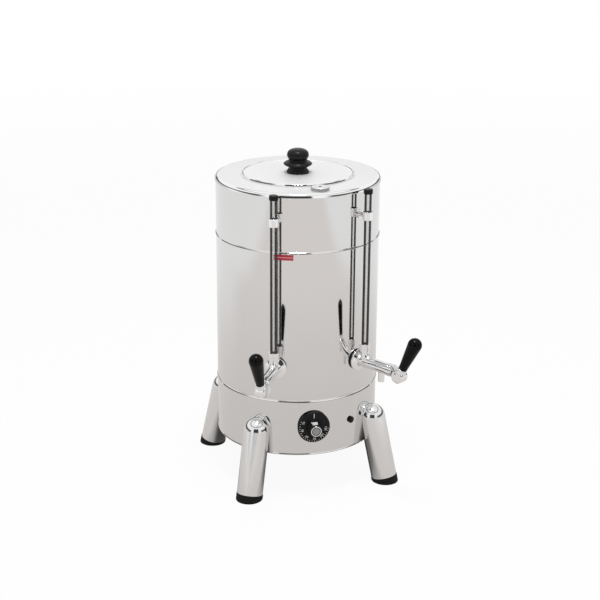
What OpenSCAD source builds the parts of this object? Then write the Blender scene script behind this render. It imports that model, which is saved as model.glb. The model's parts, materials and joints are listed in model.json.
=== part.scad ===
// Coffee urn with a water bath, two lever taps, two sight tubes and a thermostat.
// Millimetres. The urn's axis is Z, the table is z = 0 and the front faces -Y.

/* [Body] */
// Outer diameter of the tank and of the base skirt
body_d = 240; // [232:1:256]
// Thickness of the sheet steel
wall = 1; // [0.8:0.1:1.2]
// Height of the body's lower edge above the table
ground_gap = 64; // [60:1:72]
// Height of the base skirt
skirt_h = 86; // [82:1:100]
// Height of the tank shell between the skirt and the top cover
shell_h = 307; // [290:1:340]
// Drop of the upper bead below the top of the shell
bead_drop = 84.7; // [70:0.1:100]
// How far a rolled bead stands proud of the sheet
bead_h = 0.6; // [0.4:0.1:0.8]
// Radius of a bead's rolled section
bead_r = 1.4; // [1.2:0.1:1.8]
// Width of the lip turned in at the foot of the skirt
lip_w = 17; // [15:1:22]
// Thickness of the base cover
base_t = 1.2; // [1:0.1:2]
// How far the base cover laps the lip
base_lap = 10; // [8:1:12]
// Height of the tank floor's joint ring above and below its sheet
floor_ring_h = 10; // [6:1:14]

/* [Cover and lid] */
// Thickness of the top cover's sheet
cover_t = 1.2; // [1:0.1:1.6]
// Height of the rim that the cover turns down over the shell
cover_rim_h = 6.8; // [5:0.1:10]
// Outer radius of the cover's rounded corner
cover_corner = 3; // [2:0.1:4]
// Outer diameter of the coffee pot
pot_d = 160; // [150:1:162]
// Width of the pot's flange on the cover
pot_flange_w = 3.5; // [3:0.1:4]
// Thickness of the pot's flange
pot_flange_t = 0.8; // [0.6:0.1:1.2]
// Thickness of the lid's sheet
lid_t = 1; // [0.8:0.1:1.4]
// How far the lid's edge stands back from the edge of the pot's flange
lid_inset = 1.5; // [1:0.1:2]
// Radius of the lid's rolled edge
lid_roll_r = 1.4; // [1.2:0.1:1.6]
// Depth of the ring under the lid that centres it in the pot
lid_ring_h = 9; // [6:0.5:12]
// Play of the lid's ring in the pot
lid_play = 0.5; // [0.4:0.1:0.8]

/* [Lid knob] */
// Height of the knob
knob_h = 35.6; // [34:0.1:40]
// Radius of the knob's foot
knob_foot_r = 16.5; // [15:0.1:18]
// Radius of the waist above the foot
knob_waist_r = 13.3; // [12:0.1:14]
// Radius of the lower flange
knob_flange_r = 21.2; // [19:0.1:23]
// Half thickness of the lower flange's rounded edge
knob_flange_edge = 3.6; // [3:0.1:4]
// Height of the middle of the lower flange
knob_flange_z = 13; // [12.5:0.1:13.5]
// Radius of the neck between the flange and the crown
knob_neck_r = 12.8; // [11:0.1:13.5]
// Radius of the crown
knob_crown_r = 16.2; // [15:0.1:18]
// Half thickness of the crown's rounded edge
knob_crown_edge = 4.6; // [4:0.1:5]
// Diameter of the screw through the lid into the knob
knob_screw_d = 5; // [4:0.5:6]

/* [Water fill cap] */
// Angle of the fill hole from the front
fill_angle = 1.5; // [0:0.5:10]
// Diameter of the cap's head
fill_cap_d = 26; // [22:0.5:28]
// Thickness of the cap's head
fill_cap_t = 4.8; // [4:0.1:6]
// Diameter of the fill hole
fill_hole_d = 19; // [16:0.5:20]
// Width of the fill neck's rim in the cover
fill_neck_w = 3.1; // [2.6:0.1:3.3]
// Depth of the fill neck under the cover
fill_collar_h = 6; // [4:0.5:8]
// Play of the cap's plug in the hole
fill_play = 0.4; // [0.3:0.1:0.6]
// Diameter of the vent through the cap
vent_d = 3; // [2:0.5:4]

/* [Taps] */
// Angle of each tap from the front
tap_angle = 30.5; // [28:0.5:33]
// Height of the tap's barrel above the top of the skirt
tap_rise = 51; // [46:0.5:58]
// Diameter of the threaded shank
shank_d = 16; // [14:0.5:17]
// Diameter of the water way
bore_d = 8; // [6:0.5:9]
// Thickness of the gasket behind the flange
gasket_t = 2; // [1.5:0.1:3]
// Radius of the flange on the gasket
flange_r = 15.8; // [14:0.1:17]
// Thickness of the flange's rim
flange_t = 2.6; // [2:0.1:4]
// Height of the flange's cone
flange_cone_h = 3; // [2:0.1:4]
// Outer diameter of the barrel
barrel_d = 17; // [16.5:0.1:18]
// Diameter of the valve chamber in the barrel
chamber_d = 13.2; // [12.5:0.1:13.6]
// Distance from the flange's back to the middle of the tube socket
socket_out = 13; // [12.5:0.5:16]
// Distance from the socket to the valve seat
seat_out = 12; // [11:0.5:13]
// Distance from the socket to the spout
spout_out = 32; // [31:0.5:33]
// Distance from the socket to the end of the barrel
barrel_out = 44; // [43:0.5:48]
// Outer diameter of the spout
spout_d = 9.5; // [9:0.1:11]
// Diameter of the spout's bore
spout_bore_d = 6.4; // [5:0.1:7]
// Length of the spout below the barrel's axis
spout_l = 22; // [18:0.5:26]
// Outer diameter of the tube socket
socket_d = 13; // [12.8:0.1:13.2]
// Height of the socket above the barrel's axis
socket_h = 22.5; // [22:0.5:26]
// Bend radius of the elbow between the socket and the barrel
elbow_bend = 16; // [14:0.5:18]
// Diameter of the elbow's section
elbow_d = 12; // [11:0.1:12.5]
// Length of the bonnet past the barrel
bonnet_l = 11; // [10:0.5:13]
// Outer diameter of the bonnet
bonnet_d = 18.6; // [18:0.1:20]
// Length of the bonnet's spigot in the barrel
bonnet_spigot_l = 4; // [3:0.5:5]
// Diameter of the plunger's rod
rod_d = 5; // [4:0.1:6]
// Thickness of the rubber seal on the plunger
seal_t = 5; // [4:0.5:6]
// Thickness of the plate that carries the seal
seal_plate_t = 2; // [1.5:0.5:3]
// Diameter of the spring's wire
spring_wire_d = 1; // [0.8:0.1:1.2]
// Number of the spring's turns
spring_turns = 6; // [5:1:7]
// Width of a lock nut across its corners
locknut_d = 25.4; // [24:0.1:28]
// Thickness of a lock nut
locknut_t = 6; // [4:0.5:8]

/* [Levers] */
// Angle that a lever is pulled through
lever_travel = 50; // [40:1:55]
// Lift of the plunger for each radian of the lever
lift_per_radian = 5; // [4:0.1:5.2]
// Distance from the bonnet's face to the lever's pin
pin_out = 8; // [7.5:0.1:9]
// Tilt of the handle from upright
handle_tilt = 26; // [22:1:28]
// Width of the lever's fork
fork_w = 16; // [15:0.1:18]
// Radius of the fork's rounded edges
fork_edge = 2.6; // [2:0.1:3.5]
// Thickness of the plunger's eye
eye_t = 6; // [5:0.1:7]
// Radius of the plunger's eye
eye_r = 4.2; // [3.8:0.1:4.4]
// Diameter of the lever's pin
pin_d = 3; // [2.5:0.1:3.5]
// Radius of the ferrule below the handle
ferrule_r = 7; // [6.5:0.1:7.5]
// Distance from the cam's middle to the foot of the handle
handle_start = 14.3; // [13:0.1:17]
// Length of the handle
handle_l = 55.5; // [48:0.5:62]
// Radius of the handle's foot
handle_foot_r = 6.2; // [5.5:0.1:6.8]
// Radius of the handle's round end
handle_ball_r = 10.3; // [9:0.1:11]
// Diameter of the stud in the handle
stud_d = 6; // [5:0.1:7]
// Length of the stud in the handle
stud_l = 18; // [12:0.5:24]

/* [Sight tubes] */
// Outer diameter of the glass tube
tube_d = 10.3; // [9.9:0.1:10.5]
// Thickness of the glass
glass_t = 1.4; // [1.2:0.1:2]
// Depth of the tube in its socket
tube_seat = 8.5; // [7:0.5:9]
// Outer diameter of the packing nut
packing_nut_d = 15.4; // [15.2:0.1:17]
// Overlap of the packing nut on the socket
packing_nut_lap = 5; // [4:0.5:6]
// Thickness of the packing nut's lip
packing_nut_lip = 2.5; // [2:0.1:3]
// Thickness of the rubber packing ring
packing_t = 3; // [2:0.5:4]
// Outer diameter of the tube's cap
tube_cap_d = 13; // [12.6:0.1:14]
// Height of the tube's cap
tube_cap_h = 7; // [6:0.5:10]
// Thickness of the cap's top
tube_cap_top = 3; // [2:0.5:4]
// How far the cap's top stands above the cover
tube_cap_rise = 0.8; // [0:0.1:3]
// Drop of the tube clip below the top of the cover
clip_drop = 38; // [30:1:50]
// Height of the clip's band
clip_h = 12; // [10:0.5:14]
// Thickness of the clip's band
clip_t = 1.8; // [1.5:0.1:2.5]
// Diameter of the clip's arm
clip_arm_d = 6.5; // [6:0.1:8]
// Radius of the clip's foot on the shell
clip_foot_r = 6; // [5:0.1:8]
// Thickness of the clip's foot
clip_foot_t = 2; // [1.5:0.1:3]
// Diameter of the clip's stud through the shell
clip_stud_d = 4; // [3:0.1:5]

/* [Level mark] */
// Angle of the mark's left end from the front
mark_angle = -32.5; // [-35:0.5:-30]
// Angle that the mark spans
mark_span = 13.5; // [10:0.5:16]
// Height of the mark
mark_h = 8; // [6:0.5:10]
// Thickness of the mark
mark_t = 0.3; // [0.2:0.1:0.5]
// Gap between the mark and the bead above it
mark_drop = 1; // [0.5:0.1:3]

/* [Legs] */
// Angle of the first leg from the front
leg_angle = 46.5; // [44:0.5:49]
// Diameter of a leg
leg_d = 38.2; // [36:0.1:41]
// Tilt of a leg from upright
leg_tilt = 13; // [11:0.5:14]
// Distance from the body's side to the leg's axis, at the body's lower edge
leg_out = 16; // [15:0.5:18]
// Height of the middle of the leg's round top above the body's lower edge
leg_rise = 36.5; // [34:0.5:42]
// Thickness of the leg's wall
leg_wall = 1.8; // [1.5:0.1:3]
// Depth of solid metal under the body's lower edge
leg_solid = 4; // [3:0.5:8]
// Height of a foot along the leg's axis
foot_h = 8.5; // [7:0.5:11]
// How far a foot stands proud of its leg
foot_lip = 0.6; // [0.3:0.1:1]
// Depth of a foot's plug in its leg
foot_plug_h = 12; // [8:0.5:18]
// Diameter of a leg bolt
leg_bolt_d = 5; // [4:0.5:6]
// Length of a leg bolt's thread past the skirt
leg_bolt_l = 12; // [8:0.5:14]
// Heights of the two bolts of a leg above the body's lower edge
leg_bolt_rise = [16, 34];

/* [Controls] */
// Angle of the dial from the front
dial_angle = -4.5; // [-6:0.5:-2]
// Height of the dial above the body's lower edge
dial_rise = 45.2; // [43:0.1:49]
// Diameter of the dial
dial_d = 48; // [46:0.5:52]
// Thickness of the dial's disc
dial_t = 3.6; // [3:0.1:5]
// Bevel round the dial's front edge
dial_bevel = 1.2; // [0.8:0.1:1.6]
// Gap between the skirt and the dial
dial_gap = 1.4; // [1:0.1:3]
// Length of the dial's hub past its disc
hub_l = 15; // [12:0.5:18]
// Radius of the hub where it meets the disc
hub_root_r = 11.5; // [11:0.1:13]
// Radius of the hub's end
hub_end_r = 9.2; // [9:0.1:10.5]
// Distance from the dial's axis to the grip flat on the hub
hub_flat = 8.4; // [8:0.1:8.8]
// Radius of the metal cap set in the hub's end
hub_cap_r = 6.8; // [6:0.1:7.2]
// Thickness of the metal cap
hub_cap_t = 1.4; // [1:0.1:2]
// Diameter of the thermostat's shaft
shaft_d = 6; // [5:0.1:6.4]
// Diameter of the thermostat's bush
bush_d = 10; // [9:0.1:11]
// Angle of the pilot lamp from the front
lamp_angle = 25.1; // [24:0.1:27]
// Height of the pilot lamp above the body's lower edge
lamp_rise = 44.5; // [42:0.5:48]
// Diameter of the lamp's bezel
lamp_d = 10; // [9.5:0.1:12]
// Diameter of the lamp's body
lamp_body_d = 7.8; // [7.5:0.1:8.2]
// Diameter of the lamp's lens
lens_d = 6; // [5:0.1:6.4]

/* [Inside] */
// Width, height and depth of the thermostat
thermostat_size = [36, 32, 30];
// Distance from the skirt's side to the front of the thermostat
thermostat_back = 14; // [13:0.5:18]
// Diameter of the sensing bulb
bulb_d = 6; // [5:0.5:7]
// Height of the sensing bulb above the tank floor
bulb_rise = 33; // [25:1:34]
// Diameter of the heater's loop
heater_loop_d = 116; // [112:1:130]
// Diameter of the heater's tube
heater_d = 8; // [6:0.5:9]
// Height of the heater's loop above the tank floor
heater_rise = 18; // [14:0.5:22]
// Angle between the heater's two ends
heater_gap_angle = 50; // [40:1:60]
// How far the heater's ends reach below the tank floor
heater_end_l = 15; // [12:0.5:20]
// Bore of the cord gland
gland_bore_d = 8; // [7:0.5:9]
// Width of the gland's square neck in the skirt
gland_w = 11.5; // [11:0.5:12]
// Diameter of the gland's flanges
gland_flange_d = 18; // [17:0.5:21]
// Height of the cord gland above the body's lower edge
gland_rise = 30; // [26:1:40]
// Width, depth and height of the terminal block
block_size = [36, 20, 16];

/* [Fits] */
// Radial gap of fixed fits
fit_gap = 0.15; // [0.1:0.01:0.2]
// Radial gap of pins, shafts and rods that move
run_gap = 0.05; // [0.03:0.01:0.08]
// Gap between surfaces that move past each other
move_gap = 0.3; // [0.3:0.05:0.5]

/* [Hidden] */
$fn = 96;

// How far a cut runs past the face that it opens
cut = 1;

body_r = body_d / 2;
inner_r = body_r - wall;
skirt_z = ground_gap;
shell_z = skirt_z + skirt_h;
shell_top = shell_z + shell_h;
bead_z = shell_top - bead_drop;
cover_top = shell_top + cover_t;
cover_r = body_r + fit_gap + cover_t;
// The shell ends where the cover's corner starts to bend in
shell_edge = cover_top - cover_corner;
lip_r = inner_r - lip_w;
base_cover_r = lip_r + base_lap;
base_screw_r = lip_r + base_lap / 2;
base_screw_d = 4;
base_screw_l = 9;
base_screw_head_r = 3.6;
base_screw_head_t = 2.4;
base_screw_angles = [0, 90, 180, 270];

pot_r = pot_d / 2;
pot_top = cover_top + pot_flange_t;
lid_r = pot_r + pot_flange_w - lid_inset;
lid_ring_t = 0.8;
lid_ring_r = pot_r - wall - lid_play;
lid_top = pot_top + lid_t;
fill_r = (lid_r + cover_r) / 2;
fill_neck_r = fill_hole_d / 2 + fill_neck_w;
knob_bore_l = 18;
knob_crown_dome = 5;

tap_z = shell_z + tap_rise;
pot_floor_room = 2;
pot_z = tap_z - locknut_d / 2 - pot_floor_room - wall;
flange_u = body_r + gasket_t;
flange_step = 1;
socket_u = flange_u + socket_out;
seat_u = socket_u + seat_out;
spout_u = socket_u + spout_out;
barrel_u = socket_u + barrel_out;
bonnet_u = barrel_u + bonnet_l;
pin_u = bonnet_u + pin_out;
shell_nut_u = sqrt(pow(inner_r, 2) - pow(locknut_d / 2, 2)) - fit_gap;
pot_nut_in_u = sqrt(pow(pot_r - wall, 2) - pow(locknut_d / 2, 2)) - fit_gap;
pot_nut_out_u = pot_r + fit_gap;
thread_past_nut = 4;
water_shank_u = shell_nut_u - locknut_t - thread_past_nut;
coffee_shank_u = pot_nut_in_u - locknut_t - thread_past_nut;
seal_play = 0.4;
seal_r = chamber_d / 2 - seal_play;
spring_u = seat_u + seal_t + seal_plate_t;
spring_l = barrel_u - bonnet_spigot_l - spring_u;
spring_r = rod_d / 4 + chamber_d / 4 - fit_gap;
oring_t = 2;
oring_w = 1.4;
oring_u = barrel_u + bonnet_l / 2 - oring_t / 2;

half_travel = lever_travel / 2;
half_lift = lift_per_radian * half_travel * PI / 180;
cam_offset = half_lift / sin(half_travel);
cam_r = pin_out + half_lift - move_gap;
cam_u = pin_u + cam_offset * sin(half_travel);
cam_y = -cam_offset * cos(half_travel);
slot_w = eye_t + 2 * move_gap;

tube_r = tube_d / 2;
tube_z = tap_z + socket_h - tube_seat;
packing_nut_top = socket_h + packing_t + packing_nut_lip;
tube_cap_z = cover_top + tube_cap_rise - tube_cap_h;
tube_top = cover_top + tube_cap_rise - tube_cap_top;
clip_z = cover_top - clip_drop;
clip_stud_l = 5;

leg_r = leg_d / 2;
leg_angles = [for (i = [0 : 3]) leg_angle + 90 * i];
leg_end = ground_gap / cos(leg_tilt) - foot_h;
leg_top = leg_rise / cos(leg_tilt);
leg_bolt_head_r = 4.6;
leg_bolt_head_t = 3.5;
leg_bolt_head_u = sqrt(pow(inner_r, 2) - pow(leg_bolt_head_r, 2)) - fit_gap;

dial_z = skirt_z + dial_rise;
dial_u = body_r + dial_gap;
hub_u = dial_u + dial_t;
hub_end_u = hub_u + hub_l;
shaft_end_u = hub_u + hub_l / 2;
thermostat_u = inner_r - thermostat_back;
bush_end_u = body_r + dial_gap / 2;
bush_collar_r = 9;
bush_collar_t = 2;
bush_collar_u = sqrt(pow(inner_r, 2) - pow(bush_collar_r, 2)) - fit_gap;
shaft_depth = 5;
shaft_start_u = thermostat_u - shaft_depth;
lamp_z = skirt_z + lamp_rise;
lamp_flange_t = 2.4;
lamp_body_l = 11;
lamp_face_u = body_r + lamp_flange_t;
lens_dome_h = 1.5;
lens_l = 6;

bulb_x = 38;
bulb_y = -22;
bulb_below = 10;
heater_r = heater_loop_d / 2;
heater_z = shell_z + heater_rise;
heater_braze = 1;
heater_nut_d = 15;
heater_nut_t = 5;
floor_t = 1.2;
gland_z = skirt_z + gland_rise;
gland_flange_t = 3.5;
gland_inside_u = sqrt(pow(inner_r, 2) - pow(gland_flange_d / 2, 2)) - fit_gap;
block_at = [30, 68];

// World place of a point that is x to the right, y up and u out from the axis at a place on the side
function side_point(angle, height, x, y, u) =
    [x * cos(angle) + u * sin(angle), x * sin(angle) - u * cos(angle), height + y];

function unit(v) = v / norm(v);

// A smooth run through a few points, straight at both ends, with the given steps between the others
function catmull(a, b, c, d, t) =
    0.5 * (2 * b + (c - a) * t + (2 * a - 5 * b + 4 * c - d) * t * t + (3 * b - a - 3 * c + d) * t * t * t);
function smooth_run(p, steps) = [
    p[0],
    for (i = [1 : len(p) - 3], s = [0 : steps - 1])
        catmull(p[i - 1], p[i], p[i + 1], p[i + 2], s / steps),
    p[len(p) - 2],
    p[len(p) - 1]
];

// The ring of points round one station of a swept tube
function heading(path, i) = unit(path[min(i + 1, len(path) - 1)] - path[max(i - 1, 0)]);
function station(path, i, r, sides, aside) =
    let (t = heading(path, i), n = unit(cross(t, aside)), b = cross(t, n))
    [for (k = [0 : sides - 1]) path[i] + r * (cos(360 * k / sides) * n + sin(360 * k / sides) * b)];

// A round tube along a path. The path is never parallel to the vector aside
module swept_tube(path, r, sides, aside) {
    last = len(path) - 1;
    points = [for (i = [0 : last]) each station(path, i, r, sides, aside)];
    near_end = [[for (k = [0 : sides - 1]) k]];
    far_end = [[for (k = [sides - 1 : -1 : 0]) last * sides + k]];
    skin = [
        for (i = [0 : last - 1], k = [0 : sides - 1])
            let (a = i * sides + k, b = i * sides + (k + 1) % sides)
            each [[a, a + sides, b], [b, a + sides, b + sides]]
    ];
    polyhedron(points = points, faces = concat(near_end, far_end, skin));
}

// Places children on the side of the body: x to the right, y up, z out from the urn's axis
module on_side(angle, height) {
    rotate([0, 0, angle])
        translate([0, 0, height])
            rotate([90, 0, 0])
                children();
}

// Inside on_side, turns a child's z axis upwards
module upward() {
    rotate([-90, 0, 0]) children();
}

// Inside on_side, extrudes an outline drawn as [out, up] by the width w across the side
module across(w) {
    rotate([0, -90, 0])
        linear_extrude(w, center = true)
            children();
}

// A hollow cylinder
module pipe(r_out, r_in, h) {
    difference() {
        cylinder(r = r_out, h = h);
        translate([0, 0, -cut]) cylinder(r = r_in, h = h + 2 * cut);
    }
}

// A hexagon nut
module hex_nut(corners, bore_r, h) {
    difference() {
        cylinder(d = corners, h = h, $fn = 6);
        translate([0, 0, -cut]) cylinder(r = bore_r, h = h + 2 * cut);
    }
}

// A bead rolled into the sheet at a height
module bead(z) {
    rotate_extrude()
        intersection() {
            translate([body_r + bead_h - bead_r, z]) circle(bead_r);
            translate([body_r - wall / 2, z - bead_r]) square(2 * bead_r);
        }
}

// Tank shell of polished sheet, with the holes for the taps and the tube clips
module outer_shell() {
    color("silver")
        difference() {
            union() {
                translate([0, 0, shell_z]) pipe(body_r, inner_r, shell_edge - shell_z);
                bead(bead_z);
            }
            for (angle = [tap_angle, -tap_angle]) {
                on_side(angle, tap_z)
                    translate([0, 0, body_r / 2])
                        cylinder(d = shank_d + 2 * fit_gap, h = body_r);
                on_side(angle, clip_z)
                    translate([0, 0, body_r / 2])
                        cylinder(d = clip_stud_d + 2 * fit_gap, h = body_r);
            }
        }
}

// Skirt that hides the electrics, with a bead at its top and a lip ring welded in at its foot
module base_skirt() {
    color("silver")
        difference() {
            union() {
                translate([0, 0, skirt_z]) pipe(body_r, inner_r, skirt_h);
                translate([0, 0, skirt_z]) pipe(inner_r - fit_gap, lip_r, wall);
                bead(shell_z - bead_r);
            }
            on_side(dial_angle, dial_z)
                translate([0, 0, body_r / 2])
                    cylinder(d = bush_d + 2 * fit_gap, h = body_r);
            on_side(lamp_angle, lamp_z)
                translate([0, 0, body_r / 2])
                    cylinder(d = lamp_body_d + 2 * fit_gap, h = body_r);
            on_side(180, gland_z)
                square_between(gland_w + 2 * fit_gap, body_r / 2, 3 * body_r / 2);
            for (angle = leg_angles, rise = leg_bolt_rise)
                on_side(angle, skirt_z + rise)
                    translate([0, 0, body_r / 2])
                        cylinder(d = leg_bolt_d + 2 * fit_gap, h = body_r);
            base_screw_holes();
        }
}

// The clearance holes of the base cover's screws
module base_screw_holes() {
    for (angle = base_screw_angles)
        rotate([0, 0, angle])
            translate([base_screw_r, 0, skirt_z - base_t - cut])
                cylinder(d = base_screw_d + 2 * fit_gap, h = base_t + wall + 2 * cut);
}

// Floor of the water tank, with a ring that joins the shell to the skirt
module tank_floor() {
    ring_r = inner_r - fit_gap;
    color("darkgray")
        difference() {
            union() {
                translate([0, 0, shell_z - floor_ring_h]) pipe(ring_r, ring_r - wall, 2 * floor_ring_h);
                translate([0, 0, shell_z]) cylinder(r = ring_r - wall / 2, h = floor_t);
            }
            for (angle = heater_end_angles())
                rotate([0, 0, angle])
                    translate([0, -heater_r, shell_z - cut])
                        cylinder(d = heater_d + 2 * fit_gap, h = floor_t + 2 * cut);
            translate([bulb_x, bulb_y, shell_z - cut])
                cylinder(d = bulb_d + 2 * fit_gap, h = floor_t + 2 * cut);
        }
}

// Plate that closes the skirt from below
module base_cover() {
    color("gray")
        difference() {
            translate([0, 0, skirt_z - base_t]) cylinder(r = base_cover_r, h = base_t);
            base_screw_holes();
        }
}

// Pan-head screws that hold the base cover to the lip
module base_screws() {
    color("dimgray")
        for (angle = base_screw_angles)
            rotate([0, 0, angle])
                translate([base_screw_r, 0, skirt_z - base_t]) {
                    translate([0, 0, -base_screw_head_t])
                        cylinder(r = base_screw_head_r, h = base_screw_head_t);
                    cylinder(d = base_screw_d, h = base_screw_l);
                }
}

// Top cover with a rounded corner and a rim over the shell, and the turned fill neck that is brazed into it
module top_cover() {
    color("gainsboro")
        difference() {
            rotate_extrude() top_cover_profile();
            on_fill_hole(shell_top - cut) cylinder(r = fill_neck_r + fit_gap, h = cover_t + 2 * cut);
        }
    color("gainsboro")
        difference() {
            union() {
                on_fill_hole(shell_top) cylinder(r = fill_neck_r, h = cover_t);
                on_fill_hole(shell_top - fill_collar_h)
                    cylinder(d = fill_hole_d + 2 * wall, h = fill_collar_h + cut);
            }
            on_fill_hole(shell_top - fill_collar_h - cut)
                cylinder(d = fill_hole_d, h = fill_collar_h + cover_t + 2 * cut);
        }
}

// Puts a piece on the axis of the fill hole, at height z
module on_fill_hole(z) {
    rotate([0, 0, fill_angle])
        translate([0, -fill_r, z])
            children();
}

// Half section of the top cover
module top_cover_profile() {
    corner_r = cover_r - cover_corner;
    corner_z = cover_top - cover_corner;
    translate([pot_r + move_gap, shell_top]) square([corner_r - pot_r - move_gap, cover_t]);
    translate([cover_r - cover_t, cover_top - cover_rim_h]) square([cover_t, cover_rim_h - cover_corner]);
    translate([corner_r, corner_z])
        difference() {
            circle(cover_corner);
            circle(cover_corner - cover_t);
            translate([-2 * cover_corner, -cover_corner]) square(2 * cover_corner);
            translate([-cover_corner, -2 * cover_corner]) square(2 * cover_corner);
        }
}

// Coffee pot that hangs in the water bath by its flange
module coffee_pot() {
    color("gainsboro")
        difference() {
            union() {
                translate([0, 0, pot_z]) cylinder(r = pot_r, h = pot_top - pot_z);
                translate([0, 0, cover_top]) cylinder(r = pot_r + pot_flange_w, h = pot_flange_t);
            }
            translate([0, 0, pot_z + wall]) cylinder(r = pot_r - wall, h = pot_top - pot_z);
            on_side(tap_angle, tap_z)
                translate([0, 0, pot_r / 2])
                    cylinder(d = shank_d + 2 * fit_gap, h = pot_r);
        }
}

// Lift-off lid with a rolled edge and a ring that centres it in the pot
module lid() {
    roll_at = [lid_r - lid_roll_r, pot_top + lid_roll_r + fit_gap];
    color("gainsboro")
        difference() {
            rotate_extrude() {
                translate([0, pot_top]) square([lid_r - lid_roll_r, lid_t]);
                translate(roll_at) circle(lid_roll_r);
                translate([lid_ring_r - lid_ring_t, pot_top - lid_ring_h])
                    square([lid_ring_t, lid_ring_h + lid_t / 2]);
            }
            translate([0, 0, pot_top - cut])
                cylinder(d = knob_screw_d + 2 * fit_gap, h = lid_t + 2 * cut);
        }
}

// Turned black knob of the lid, with a foot, a wide flange and a crown
module lid_knob() {
    color("black")
        translate([0, 0, lid_top])
            difference() {
                rotate_extrude() knob_profile();
                translate([0, 0, -cut])
                    cylinder(d = knob_screw_d + 2 * fit_gap, h = knob_bore_l + cut);
            }
}

// Half section of the lid's knob
module knob_profile() {
    foot_step = 1.5;
    foot_cone_h = 5;
    crown_z = knob_h - knob_crown_dome - knob_crown_edge / 2;
    dome_chord = knob_crown_r - knob_crown_edge;
    dome_r = (pow(dome_chord, 2) + pow(knob_h - crown_z - knob_crown_edge, 2))
        / (2 * (knob_h - crown_z - knob_crown_edge));
    polygon([
        [0, 0],
        [knob_foot_r, 0],
        [knob_foot_r, foot_step],
        [knob_waist_r, foot_step + foot_cone_h],
        [knob_waist_r, knob_flange_z],
        [0, knob_flange_z]
    ]);
    translate([0, knob_flange_z - knob_flange_edge])
        square([knob_flange_r - knob_flange_edge, 2 * knob_flange_edge]);
    translate([knob_flange_r - knob_flange_edge, knob_flange_z]) circle(knob_flange_edge);
    translate([0, knob_flange_z]) square([knob_neck_r, crown_z - knob_flange_z]);
    translate([0, crown_z - knob_crown_edge]) square([dome_chord, 2 * knob_crown_edge]);
    translate([dome_chord, crown_z]) circle(knob_crown_edge);
    intersection() {
        translate([0, knob_h - dome_r]) circle(dome_r);
        translate([0, crown_z]) square([dome_chord, knob_h]);
    }
}

// Screw from under the lid into the knob
module lid_knob_screw() {
    head_r = 4.8;
    head_t = 3.2;
    color("dimgray")
        translate([0, 0, pot_top - head_t]) {
            cylinder(r = head_r, h = head_t);
            cylinder(d = knob_screw_d, h = head_t + lid_t + knob_bore_l - cut);
        }
}

// Vented cap of the water fill hole
module fill_cap() {
    edge = 0.8;
    cap_r = fill_cap_d / 2;
    plug_r = fill_hole_d / 2 - fill_play;
    color("silver")
        on_fill_hole(cover_top)
            difference() {
                union() {
                    cylinder(r = cap_r, h = fill_cap_t - edge);
                    translate([0, 0, fill_cap_t - edge])
                        cylinder(r1 = cap_r, r2 = cap_r - edge, h = edge);
                    translate([0, 0, -cover_t - fill_collar_h])
                        cylinder(r = plug_r, h = cover_t + fill_collar_h);
                }
                translate([0, 0, -cover_t - fill_collar_h - cut])
                    cylinder(d = vent_d, h = cover_t + fill_collar_h + fill_cap_t + 2 * cut);
            }
}

// The angles of the heater's two ends from the front, at the back of the urn
function heater_end_angles() = [180 - heater_gap_angle / 2, 180 + heater_gap_angle / 2];

// Tubular heater that loops round in the water, with its two ends through the tank floor
module heater() {
    color("slategray") {
        translate([0, 0, heater_z])
            rotate([0, 0, 90 + heater_gap_angle / 2])
                rotate_extrude(angle = 360 - heater_gap_angle)
                    translate([heater_r, 0]) circle(d = heater_d);
        for (angle = heater_end_angles())
            rotate([0, 0, angle])
                translate([0, -heater_r, 0]) {
                    translate([0, 0, shell_z - heater_end_l])
                        cylinder(d = heater_d, h = heater_rise + heater_end_l);
                    translate([0, 0, heater_z]) sphere(d = heater_d + heater_braze);
                }
    }
}

// Nuts that clamp the heater's ends under the tank floor
module heater_nuts() {
    color("goldenrod")
        for (angle = heater_end_angles())
            rotate([0, 0, angle])
                translate([0, -heater_r, shell_z - heater_nut_t])
                    hex_nut(heater_nut_d, heater_d / 2 + fit_gap, heater_nut_t);
}

// Thermostat behind the dial, with the bush that carries its shaft through the skirt
module thermostat() {
    color("white")
        on_side(dial_angle, dial_z)
            difference() {
                union() {
                    translate([0, 0, thermostat_u - thermostat_size[2] / 2])
                        cube(thermostat_size, center = true);
                    cylinder_between(bush_d / 2, thermostat_u - cut, bush_end_u);
                    cylinder_between(bush_collar_r, bush_collar_u - bush_collar_t, bush_collar_u);
                }
                cylinder_between(shaft_d / 2 + run_gap, shaft_start_u - move_gap, bush_end_u + cut);
            }
}

// Inside on_side, a cylinder along the radius from one distance to another
module cylinder_between(r, from, to) {
    translate([0, 0, from]) cylinder(r = r, h = to - from);
}

// Inside on_side, a square bar along the radius from one distance to another
module square_between(w, from, to) {
    translate([-w / 2, -w / 2, from]) cube([w, w, to - from]);
}

// Sensing bulb through the tank floor and the capillary that joins it to the thermostat
module thermostat_bulb() {
    capillary_d = 2;
    bulb_z = shell_z - bulb_below;
    side = thermostat_size[0] / 2 + capillary_d / 2 + fit_gap;
    start = side_point(dial_angle, dial_z, side, 8, thermostat_u - thermostat_size[2] / 2);
    route = [
        start,
        start + [2, 6, 4],
        [bulb_x - 8, bulb_y - 30, bulb_z - 14],
        [bulb_x - 2, bulb_y - 8, bulb_z - 9],
        [bulb_x, bulb_y, bulb_z - 4],
        [bulb_x, bulb_y, bulb_z + 1]
    ];
    color("goldenrod") {
        translate([bulb_x, bulb_y, bulb_z]) cylinder(d = bulb_d, h = bulb_below + bulb_rise);
        swept_tube(smooth_run(route, 4), capillary_d / 2, 8, [1, 0, 0]);
    }
}

// Terminal block on the base cover
module terminal_block() {
    color("ivory")
        translate([block_at[0] - block_size[0] / 2, block_at[1] - block_size[1] / 2, skirt_z])
            cube(block_size);
}

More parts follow.
